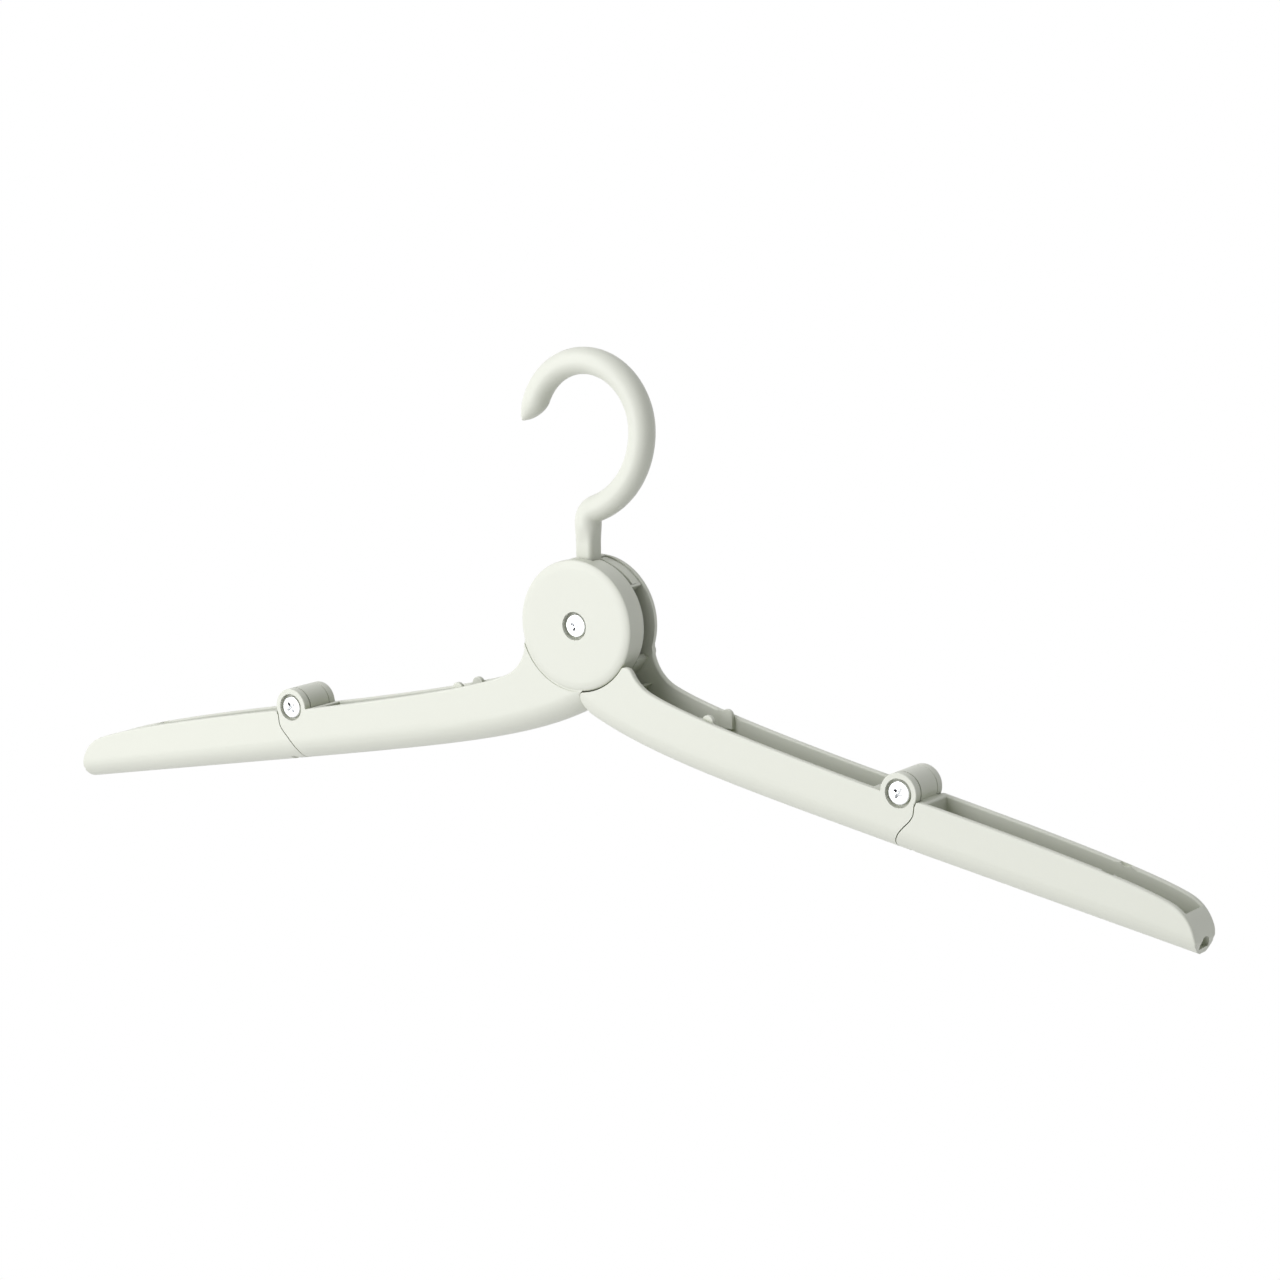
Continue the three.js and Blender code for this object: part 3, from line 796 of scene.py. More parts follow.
@dataclass
class InnerArm:
    """Inner arm: a channel with a round head at the hub and two ears at the hinge."""

    layout: Layout
    head_edge: float = 1.5 * MM
    crown_reach: float = 3.2 * MM
    crown_drop: float = 1.1 * MM
    head_seat: float = 0.03 * MM
    wall_seat: float = 0.05 * MM
    floor_seat: float = 0.005 * MM
    rim_wall: float = 1.8 * MM
    stem_room: float = 0.5 * MM
    rim_start: float = math.radians(84)
    rim_end: float = math.radians(330)
    boss_radius: float = 6.5 * MM
    boss_inside: float = 4.1 * MM
    horn_drop: float = 10 * MM
    horn_radius: float = 2.4 * MM
    horn_start: float = math.radians(150)
    web_radius: float = 22.6 * MM
    web_wall: float = 1.4 * MM
    web_drop: float = 16.5 * MM
    end_wall: float = 2.8 * MM
    nose_wall: float = 1.9 * MM
    nose_top: float = 11 * MM
    nose_spans: int = 20
    nose_slices: int = 14
    groove: float = 0.22 * MM
    rounding: float = 0.6 * MM
    tab_rounding_share: float = 0.4
    ear_rounding_share: float = 0.5
    round_steps: int = 32
    sweep_steps: int = 16
    edge_faces: int = 10

    def _rest_of_outline(self) -> list[Vector]:
        """The hinge's ear, the seam and the underside's allowance, as one path.

        Returns:
            Points as X and Z.
        """
        layout = self.layout
        lowest = layout.underside(layout.hinge_reach + layout.ear_radius) - layout.overrun
        ear = arc(layout.hinge, layout.ear_radius, math.pi, layout.seam_start, self.round_steps)
        return [*ear, *layout.seam()[1:], Vector((-layout.head_radius / 2, lowest))]

    def _tall_wall(self) -> bpy.types.Object:
        """The wall that rises into the neck and carries the head.

        Returns:
            The new object.
        """
        layout = self.layout
        outline = [Vector((-layout.head_radius / 2, 0)), *layout.mouth(), *self._rest_of_outline()]
        return Bench.slab(outline, layout.channel_side - 2 * self.wall_seat, layout.side + layout.overrun)

    def _horn(self) -> list[Vector]:
        """The horn's rounded top, which runs smoothly into the neck's flank.

        Returns:
            Points as X and Z.
        """
        neck = self.layout.neck_centre
        level = -self.horn_drop - self.horn_radius
        apart = self.layout.neck_radius + self.horn_radius
        centre = Vector((neck.x - math.sqrt(apart ** 2 - (neck.y - level) ** 2), level))
        end = math.atan2(neck.y - centre.y, neck.x - centre.x)
        return arc(centre, self.horn_radius, self.horn_start, end, self.round_steps // 2)

    def _short_wall(self) -> bpy.types.Object:
        """The wall and floor that end at a rounded horn, clear of the other arm's head.

        Returns:
            The new object.
        """
        layout = self.layout
        horn = self._horn()
        below = [point for point in layout.mouth() if point.y < horn[-1].y - layout.gap]
        left = Vector((-layout.head_radius / 2, horn[0].y))
        outline = [left, *horn, *below, *self._rest_of_outline()]
        outline = [point - Vector((0, self.floor_seat)) for point in outline]
        wall = Bench.slab(outline, -layout.side - layout.overrun, layout.channel_side - self.wall_seat)
        other_head = Bench.disc(layout.head_radius + layout.gap, -layout.head_face - layout.overrun,
                                layout.parting, sides=layout.head_sides)
        own_rim = Bench.disc(layout.head_radius - self.rim_wall / 2, 0, layout.channel_side + MM,
                             sides=layout.rim_sides)
        return Bench.combine(Bench.combine(wall, other_head, Bool.CUT), own_rim, Bool.CUT)

    def _nose_tool(self) -> bpy.types.Object:
        """What lies left of the twisted seam between the two noses.

        Returns:
            A tool to cut with.
        """
        layout = self.layout
        knots = [Vector(share) * layout.head_radius for share in layout.nose_shares]
        seam = smooth_through(knots, self.nose_spans)
        far = -2 * layout.head_radius
        level = layout.side + layout.overrun
        slice_depth = 2 * level / self.nose_slices
        top = [Vector((far, -self.nose_top)), Vector((0, -self.nose_top))]
        tool = Bench.slab([*top, *seam, Vector((far, seam[-1].y))], -level, -level + slice_depth)
        Bench.pick(tool)
        bpy.ops.object.mode_set(mode="EDIT")
        bpy.ops.mesh.select_mode(type="FACE")
        bpy.ops.mesh.select_all(action="DESELECT")
        bpy.ops.object.mode_set(mode="OBJECT")
        for face in tool.data.polygons:
            face.select = face.normal.y > Bench.along_y
        bpy.ops.object.mode_set(mode="EDIT")
        for _ in range(self.nose_slices - 1):
            step = {"value": (0, slice_depth, 0)}
            bpy.ops.mesh.extrude_region_move(TRANSFORM_OT_translate=step)
        bpy.ops.object.mode_set(mode="OBJECT")
        for vertex in tool.data.vertices:
            if vertex.co.x > far + layout.gap:
                vertex.co.x = -vertex.co.x * vertex.co.y / layout.side + layout.gap / 2
        return Bench.settle(tool)

    def _crown(self, vertex: bpy.types.MeshVertex) -> None:
        """Stretches the round edge of a head's face inwards into a flat crown.

        Args:
            vertex: The point to move.
        """
        layout = self.layout
        inward = 1 - math.hypot(vertex.co.x, vertex.co.z) / layout.head_radius
        down = layout.head_face - vertex.co.y
        if down < self.head_edge + layout.gap:
            share = 1 - inward * self.crown_reach / self.head_edge
            reach = Vector((vertex.co.x, 0, vertex.co.z)).normalized() * layout.head_radius * share
            depth = down * self.crown_drop / self.head_edge
            vertex.co = (reach.x, layout.head_face - depth, reach.z)

    def _head(self) -> bpy.types.Object:
        """The round head: plate with a crowned face, rim and boss.

        Returns:
            The new object.
        """
        layout = self.layout
        face = layout.head_face
        inside = face - layout.head_plate - self.head_seat
        below = layout.parting - MM
        bore = layout.head_radius - self.rim_wall
        head = Bench.disc(layout.head_radius, layout.parting, face, sides=layout.head_sides)
        Bench.bevel(head, lambda points: all(point.y > face - layout.gap for point in points),
                    self.head_edge, self.edge_faces)
        for vertex in head.data.vertices:
            self._crown(vertex)
        hollow = Bench.disc(bore, below, inside, sides=layout.rim_sides)
        head = Bench.combine(head, hollow, Bool.CUT)
        past_stem = math.pi / 2 + math.asin((layout.stem_width / 2 + self.stem_room) / bore)
        start = self.rim_end - math.tau
        for end, level in ((self.rim_start, inside), (past_stem, layout.rim_inside)):
            reach = arc(Vector((0, 0)), 2 * layout.head_radius, start, end, self.sweep_steps)
            span = Bench.slab([Vector((0, 0)), *reach], below, level)
            head = Bench.combine(head, span, Bool.CUT)
        boss = Bench.disc(self.boss_radius, self.boss_inside, inside + layout.gap)
        return Bench.combine(head, boss, Bool.JOIN)

    def _channel(self) -> bpy.types.Object:
        """The channel, less the cross web that stands in it.

        Returns:
            A tool to cut with.
        """
        layout = self.layout
        end = layout.hinge_reach - layout.ear_radius - layout.gap - self.end_wall
        channel = Trough(layout, self.nose_wall, end, layout.wall, layout.floor).build()
        web = Bench.ring(self.web_radius, self.web_radius + self.web_wall, -layout.side, layout.side,
                         sides=layout.rim_sides)
        right = self.web_radius + 2 * self.web_wall
        low = -2 * layout.head_radius
        corners = ((self.nose_wall, -self.web_drop), (right, -self.web_drop), (right, low),
                   (self.nose_wall, low))
        room = Bench.slab([Vector(corner) for corner in corners], -layout.side, layout.side)
        return Bench.combine(channel, Bench.combine(web, room, Bool.KEEP), Bool.CUT)

    def _rounding_share(self) -> Chooser:
        """How much of the full rounding an edge of the moulding gets.

        Returns:
            A function from the middle of an edge to its share.
        """
        layout = self.layout
        close = layout.close
        mouth = layout.mouth()
        ear = arc(layout.hinge, layout.ear_radius, math.pi, layout.seam_start, self.round_steps)
        horn = self._horn()
        dome = layout.tab_outline(0)
        tab_y = layout.channel_side + layout.tab_outward

        def share(middle: Vector) -> float:
            """Tells what an edge belongs to.

            Args:
                middle: The edge's middle.

            Returns:
                Its share of the full rounding.
            """
            at = Vector((middle.x, middle.z))
            beside_tab = abs(at.x - layout.tab_reach) < layout.tab_radius + MM
            if at.length < layout.head_radius + MM:
                return 0.0
            if abs(middle.y) < tab_y + close and beside_tab:
                on_tab = away_from(dome, at) < close and at.y > layout.mouth_height(at.x)
                return self.tab_rounding_share if on_tab else 0.0
            if away_from(ear, at) < close:
                return self.ear_rounding_share
            if middle.y < 0 and at.x < 2 * layout.head_radius and away_from(horn, at) < close:
                return 1.0
            return 1.0 if away_from(mouth, at) < close else 0.0

        return share

    def _blank(self) -> bpy.types.Object:
        """The arm without its head, cut to the seams and hollowed.

        Returns:
            The new object.
        """
        layout = self.layout
        arm = Trough(layout, -layout.head_radius, layout.hinge_reach + 2 * layout.ear_radius).build()
        walls = Bench.combine(self._tall_wall(), self._short_wall(), Bool.JOIN)
        arm = Bench.combine(arm, walls, Bool.KEEP)
        arm = Bench.combine(arm, self._nose_tool(), Bool.CUT)
        arm = Bench.combine(arm, self._channel(), Bool.CUT)
        ear_inside = layout.side - layout.ear_thickness
        knuckle = Bench.disc(layout.ear_radius + layout.gap, -ear_inside, ear_inside, layout.hinge)
        return Bench.combine(arm, knuckle, Bool.CUT)

    def _add_catches(self, arm: bpy.types.Object) -> bpy.types.Object:
        """Stands a catch on each wall of the channel.

        Args:
            arm: The arm.

        Returns:
            The same arm.
        """
        layout = self.layout
        inner, outer = layout.channel_side - layout.tab_inward, layout.channel_side + layout.tab_outward
        for low, high in ((inner, outer), (-outer, -inner)):
            arm = Bench.combine(arm, Bench.slab(layout.tab_outline(0), low, high), Bool.JOIN)
        return arm

    def _add_head(self, arm: bpy.types.Object) -> bpy.types.Object:
        """Joins the head on, with a fine groove round it.

        Args:
            arm: The arm.

        Returns:
            The same arm.
        """
        layout = self.layout
        groove = Bench.ring(layout.head_radius - MM, layout.head_radius + self.groove,
                            layout.side - self.groove, layout.side + MM, sides=layout.head_sides)
        arm = Bench.combine(arm, groove, Bool.CUT)
        return Bench.combine(arm, self._head(), Bool.JOIN)

    def _bore(self, arm: bpy.types.Object) -> bpy.types.Object:
        """Cuts the holes for the hub's and the hinge's screws, with a recess at each open end.

        Args:
            arm: The arm.

        Returns:
            The same arm.
        """
        layout = self.layout
        for centre, level, depth, ends in (
            (Vector((0, 0)), layout.head_face, layout.hub_recess, (1,)),
            (layout.hinge, layout.side, layout.hinge_recess, (1, -1)),
        ):
            far = level + layout.overrun
            hole = Bench.disc(layout.bore_radius, -far, far, centre, sides=layout.bore_sides)
            arm = Bench.combine(arm, hole, Bool.CUT)
            for end in ends:
                low, high = sorted((end * (level - depth), end * far))
                recess = Bench.disc(layout.recess_radius, low, high, centre)
                arm = Bench.combine(arm, recess, Bool.CUT)
        return arm

    def build(self, side: Side) -> bpy.types.Object:
        """Models the moulding and sets it in place.

        Args:
            side: Which side of the hanger it is for.

        Returns:
            The finished piece.
        """
        arm = self._bore(self._add_head(self._add_catches(self._blank())))
        Bench.soften(arm, self.rounding, self._rounding_share())
        Bench.smooth(arm)
        arm.name = f"{side.label}_inner_arm_moulding"
        Bench.place(arm, side.turn, self.layout)
        SAGE_PLASTIC.dress(arm, f"{side.label}_inner", f"{side.label}_inner_arm")
        return arm


@dataclass
class OuterArm:
    """Outer arm: a channel closed at both ends, with a knuckle between the ears."""

    layout: Layout
    head_gap: float = 0.4 * MM
    knuckle_seat: float = 0.03 * MM
    end_wall: float = 2 * MM
    notch_radius: float = 1.2 * MM
    notch_offset: float = 2.2 * MM
    tip_rounding: float = 2 * MM
    tip_wall: float = 3.4 * MM
    pocket_width: float = 5.4 * MM
    pocket_height: float = 3 * MM
    pocket_depth: float = 2.2 * MM
    pocket_lift: float = 1.7 * MM
    pocket_rim_share: float = 0.6
    rounding: float = 0.6 * MM
    notch_sides: int = 32
    beside_steps: int = 8
    foot_steps: int = 12
    arch_steps: int = 20

    @property
    def knuckle_side(self) -> float:
        """Room between the two ears, from the middle."""
        return self.layout.side - self.layout.ear_thickness - self.layout.gap

    def _outline(self, ear_room: float, mouth: list[Vector]) -> list[Vector]:
        """Side outline, with room of a given radius round the hinge.

        Args:
            ear_room: Radius kept clear about the hinge.
            mouth: The folded mouth's path.

        Returns:
            Points as X and Z.
        """
        layout = self.layout
        foot = layout.underside(2 * layout.hinge_reach) - layout.overrun
        seam = offset(layout.seam(), lambda _: layout.gap)
        top = math.atan2(mouth[-1].y - layout.hinge.y, layout.ear_radius)
        beside = arc(layout.hinge, ear_room, top, layout.seam_start, self.beside_steps)
        feet = [Vector((seam[-1].x, foot)), Vector((mouth[0].x, foot))]
        return [*beside, *seam[1:], *feet, *mouth]

    def _tip_tools(self, end: float) -> list[bpy.types.Object]:
        """What is cut from the tip: its rounded foot and the arched pocket.

        Args:
            end: Furthest reach of the tip.

        Returns:
            Tools to cut with.
        """
        layout = self.layout
        bottom = layout.underside(end)
        centre = Vector((end - self.tip_rounding, bottom + self.tip_rounding))
        foot = arc(centre, self.tip_rounding, 0, -math.pi / 2, self.foot_steps)
        far = end + layout.overrun
        low = bottom - layout.overrun
        corner = [Vector((centre.x, low)), Vector((far, low)), Vector((far, centre.y))]
        corner_tool = Bench.slab([*foot, *corner], -layout.side, layout.side)
        radius = self.pocket_width / 2
        base = bottom + self.pocket_lift
        spring = base + self.pocket_height - radius
        crown = arc(Vector((0, spring)), radius, 0, math.pi, self.arch_steps)
        arch = [*crown, Vector((-radius, base)), Vector((radius, base))]
        pocket = Bench.slab(arch, -far, -end + self.pocket_depth)
        Bench.pick(pocket)
        pocket.rotation_euler = (0, 0, math.pi / 2)
        return [corner_tool, Bench.settle(pocket)]

    def _rounding_share(self, mouth: list[Vector]) -> Chooser:
        """How much of the full rounding an edge of the moulding gets.

        Args:
            mouth: The folded mouth's path.

        Returns:
            A function from the middle of an edge to its share.
        """
        layout = self.layout
        close = layout.close
        pocket_side = self.pocket_width * self.pocket_rim_share
        hub = layout.hinge * 2
        catch = hub.x - layout.tab_reach
        foot = layout.underside(mouth[0].x) + self.tip_rounding + MM

        def share(middle: Vector) -> float:
            """Tells what an edge belongs to.

            Args:
                middle: The edge's middle.

            Returns:
                Its share of the full rounding.
            """
            at = Vector((middle.x, middle.z))
            beside_catch = abs(at.x - catch) < layout.tab_radius + MM
            in_pocket = abs(middle.y) < pocket_side and at.x > mouth[0].x - self.tip_wall
            if in_pocket or (beside_catch and abs(middle.y) < layout.half_width(at.x) - close):
                return 0.0
            if abs((at - hub).length - layout.head_radius - self.head_gap) < close:
                return 1.0 if at.y > foot else 0.0
            return 1.0 if away_from(mouth, at) < close else 0.0

        return share

    def _blank(self, mouth: list[Vector]) -> bpy.types.Object:
        """The arm without its knuckle, cut to the seams and to the hub that it folds up to.

        Args:
            mouth: The folded mouth's path.

        Returns:
            The new object.
        """
        layout = self.layout
        end = mouth[0].x
        arm = Trough(layout, layout.hinge_reach - 2 * layout.ear_radius, end).build()
        full = Bench.slab(self._outline(layout.ear_radius + layout.gap, mouth), -layout.side, layout.side)
        strap = Bench.slab(self._outline(layout.ear_radius - layout.gap, mouth), -self.knuckle_side,
                           self.knuckle_side)
        arm = Bench.combine(arm, Bench.combine(full, strap, Bool.JOIN), Bool.KEEP)
        room = layout.head_radius + self.head_gap
        hub = layout.folded([Vector((0, 0))])[0]
        head = Bench.disc(room, -layout.head_face, layout.head_face, hub, layout.head_sides)
        arm = Bench.combine(arm, head, Bool.CUT)
        for tool in self._tip_tools(end):
            arm = Bench.combine(arm, tool, Bool.CUT)
        return arm

    def _hollow(self, arm: bpy.types.Object, end: float) -> bpy.types.Object:
        """Cuts the channel, the catches' recesses and the notch under the hinge.

        Args:
            arm: The arm.
            end: Furthest reach of the tip.

        Returns:
            The same arm.
        """
        layout = self.layout
        start = layout.hinge_reach + layout.ear_radius + layout.gap + self.end_wall
        channel = Trough(layout, start, end - self.tip_wall, layout.wall, layout.floor).build()
        arm = Bench.combine(arm, channel, Bool.CUT)
        reach = layout.channel_side + layout.tab_outward + layout.gap
        for low, high in ((0, reach), (-reach, 0)):
            catch = Bench.slab(layout.folded(layout.tab_outline(layout.gap)), low, high)
            arm = Bench.combine(arm, catch, Bool.CUT)
        notch_x = layout.hinge_reach + self.notch_offset
        notch_at = Vector((notch_x, layout.underside(notch_x)))
        notch = Bench.disc(self.notch_radius, -layout.side - MM, layout.side + MM, notch_at,
                           self.notch_sides)
        return Bench.combine(arm, notch, Bool.CUT)

    def _add_knuckle(self, arm: bpy.types.Object) -> bpy.types.Object:
        """Joins the knuckle on and bores it.

        Args:
            arm: The arm.

        Returns:
            The same arm.
        """
        layout = self.layout
        level = self.knuckle_side - self.knuckle_seat
        knuckle = Bench.disc(layout.ear_radius, -level, level, layout.hinge)
        arm = Bench.combine(arm, knuckle, Bool.JOIN)
        bore = Bench.disc(layout.bore_radius, -layout.side, layout.side, layout.hinge, layout.bore_sides)
        return Bench.combine(arm, bore, Bool.CUT)

    def build(self, side: Side) -> bpy.types.Object:
        """Models the moulding and sets it in place.

        Args:
            side: Which side of the hanger it is for.

        Returns:
            The finished piece.
        """
        mouth = self.layout.folded_mouth()
        arm = self._add_knuckle(self._hollow(self._blank(mouth), mouth[0].x))
        Bench.soften(arm, self.rounding, self._rounding_share(mouth))
        Bench.smooth(arm)
        arm.name = f"{side.label}_outer_arm_moulding"
        Bench.place(arm, side.turn, self.layout)
        SAGE_PLASTIC.dress(arm, f"{side.label}_outer", f"{side.label}_outer_arm")
        return arm


@dataclass
class Hook:
    """Hook: a round rod on a square stem, with the hub's eye and its two stop walls."""

    layout: Layout
    rod_radius: float = 3.75 * MM
    bowl_radius: float = 18.3 * MM
    belly_radius: float = 24 * MM
    bend_radius: float = 4.4 * MM
    stem_corner: float = 1.5 * MM
    tip_angle: float = math.radians(179)
    tip_span: float = math.radians(22)
    tip_share: float = 0.1
    eye_radius: float = 11 * MM
    stop_radius: float = 18.1 * MM
    stop_wall: float = 3.2 * MM
    stop_front: float = 1.5 * MM
    stop_web_radius: float = 15.7 * MM
    seat: float = 0.03 * MM
    stop_nib: float = math.radians(3)
    stop_from: float = math.radians(38)
    stop_to: float = math.radians(82.5)
    square_over: float = 6 * MM
    square_steps: int = 8
    tip_slack: float = 0.1
    rounding: float = 0.3 * MM
    close: float = 0.05 * MM
    sides: int = 72
    web_sides: int = 144
    span_steps: int = 6
    turn_steps: tuple[int, int, int, int] = (30, 62, 34, 16)

    def _rod(self) -> bpy.types.Object:
        """Spins a circle round the bowl, the belly and the bend, and draws it down into the stem.

        Returns:
            The new object.
        """
        bowl = self.layout.hang_height + self.rod_radius - self.bowl_radius
        belly_x = self.bowl_radius - self.belly_radius
        across = self.bend_radius - belly_x
        bend_z = bowl - math.sqrt((self.belly_radius + self.bend_radius) ** 2 - across ** 2)
        meet = math.atan2(bend_z - bowl, across)
        tip = arc(Vector((0, bowl)), self.bowl_radius, self.tip_angle, 0, 1)[0]
        Bench.clear()
        bpy.ops.mesh.primitive_circle_add(
            vertices=self.sides, radius=self.rod_radius, fill_type="NGON", location=(tip.x, 0, tip.y),
            rotation=(0, math.pi - self.tip_angle, 0),
        )
        rod = bpy.context.object
        bpy.ops.object.transform_apply(location=True, rotation=True, scale=True)
        bpy.ops.object.mode_set(mode="EDIT")
        bpy.ops.mesh.select_all(action="SELECT")
        turns = (
            ((0, 0, bowl), -self.tip_span),
            ((0, 0, bowl), self.tip_span - self.tip_angle),
            ((belly_x, 0, bowl), meet),
            ((self.bend_radius, 0, bend_z), -meet),
        )
        for (centre, angle), steps in zip(turns, self.turn_steps):
            bpy.ops.mesh.spin(steps=steps, angle=angle, center=centre, axis=(0, 1, 0))
        for _ in range(self.square_steps):
            step = {"value": (0, 0, -self.square_over / self.square_steps)}
            bpy.ops.mesh.extrude_region_move(TRANSFORM_OT_translate=step)
        step = {"value": (0, 0, self.square_over - bend_z)}
        bpy.ops.mesh.extrude_region_move(TRANSFORM_OT_translate=step)
        bpy.ops.object.mode_set(mode="OBJECT")
        for vertex in rod.data.vertices:
            self._square(vertex, bend_z)
            self._round_tip(vertex, bowl)
        return Bench.settle(rod)

    def _square(self, vertex: bpy.types.MeshVertex, bend_z: float) -> None:
        """Moves a point below the bend from the rod's circle to the stem's rounded square.

        Args:
            vertex: The point.
            bend_z: Where the bend ends.
        """
        share = min(max((bend_z - vertex.co.z) / self.square_over, 0.0), 1.0)
        share = share * share * (3 - 2 * share)
        half = self.layout.stem_width / 2
        flat = half - self.stem_corner
        out = Vector((vertex.co.x, vertex.co.y)).normalized()
        wide, narrow = max(abs(out.x), abs(out.y)), min(abs(out.x), abs(out.y))
        if half * narrow <= flat * wide:
            reach = half / wide
        else:
            along = flat * (wide + narrow)
            reach = along + math.sqrt(along ** 2 - 2 * flat ** 2 + self.stem_corner ** 2)
        if share > 0:
            out *= self.rod_radius + (reach - self.rod_radius) * share
            vertex.co.x, vertex.co.y = out

    def _round_tip(self, vertex: bpy.types.MeshVertex, bowl: float) -> None:
        """Rounds the end of the rod off towards its outer side.

        Args:
            vertex: The point to move.
            bowl: Height of the bowl's centre.
        """
        reach = Vector((vertex.co.x, vertex.co.z - bowl))
        along = (self.tip_angle - math.atan2(reach.y, reach.x)) / self.tip_span
        if reach.x > 0 or not -self.tip_slack < along < 1:
            return
        share = max(math.sqrt(1 - (1 - max(along, 0)) ** 2), self.tip_share)
        outer = reach.normalized() * (self.bowl_radius + self.rod_radius)
        moved = outer + (reach - outer) * share
        vertex.co = (moved.x, vertex.co.y * share, moved.y + bowl)

    def _span(self, start: float, end: float, outer: float) -> bpy.types.Object:
        """A wedge about the hub between two angles, to trim a stop wall with.

        Args:
            start: First angle, round from +X.
            end: Last angle.
            outer: Its back level.

        Returns:
            The new object.
        """
        reach = arc(Vector((0, 0)), 2 * self.layout.head_radius, start, end, self.span_steps)
        return Bench.slab([Vector((0, 0)), *reach], -MM, outer)

    def _stop(self, turn: float) -> bpy.types.Object:
        """One stop wall beside the eye, with the web that carries it.

        Args:
            turn: Turn about Z.

        Returns:
            The new object.
        """
        layout = self.layout
        outer = layout.head_face - layout.head_plate - layout.gap
        bore = self.stop_radius - self.stop_wall
        past_nib = self.stop_from + self.stop_nib
        stop = Bench.ring(bore, self.stop_radius, layout.parting, outer, sides=layout.rim_sides)
        stop = Bench.combine(stop, self._span(past_nib, math.pi / 2, self.stop_front), Bool.CUT)
        web_top = layout.eye_thickness / 2 - 2 * self.seat
        web = Bench.disc(self.stop_web_radius, self.stop_front + self.seat, web_top,
                         sides=self.web_sides)
        stop = Bench.combine(stop, web, Bool.JOIN)
        stop = Bench.combine(stop, self._span(self.stop_from, self.stop_to, outer + MM), Bool.KEEP)
        Bench.pick(stop)
        stop.rotation_euler = (0, 0, turn)
        return Bench.settle(stop)

    def build(self) -> bpy.types.Object:
        """Models the hook and sets it in place.

        Returns:
            The finished piece.
        """
        layout = self.layout
        eye = layout.eye_thickness / 2 - self.seat
        hook = Bench.combine(self._rod(), Bench.disc(self.eye_radius, -eye, eye), Bool.JOIN)
        for turn in (0.0, math.pi):
            hook = Bench.combine(hook, self._stop(turn), Bool.JOIN)
        bore = Bench.disc(layout.bore_radius, -layout.side, layout.side, sides=layout.bore_sides)
        hook = Bench.combine(hook, bore, Bool.CUT)
        Bench.soften(hook, self.rounding, self._rounding_share)
        Bench.smooth(hook)
        hook.name = "hook_moulding"
        Bench.place(hook, 0.0, layout)
        SAGE_PLASTIC.dress(hook, "hook", "hook")
        return hook

    def _rounding_share(self, middle: Vector) -> float:
        """How much of the full rounding an edge gets: only the stop walls' outer ones do.

        Args:
            middle: The edge's middle.

        Returns:
            Its share.
        """
        reach = math.hypot(middle.x, middle.z)
        angle = math.atan2(middle.z, abs(middle.x))
        inside = self.stop_from + self.stop_nib < angle < self.stop_to - self.stop_nib
        return 1.0 if inside and abs(reach - self.stop_radius) < self.close else 0.0


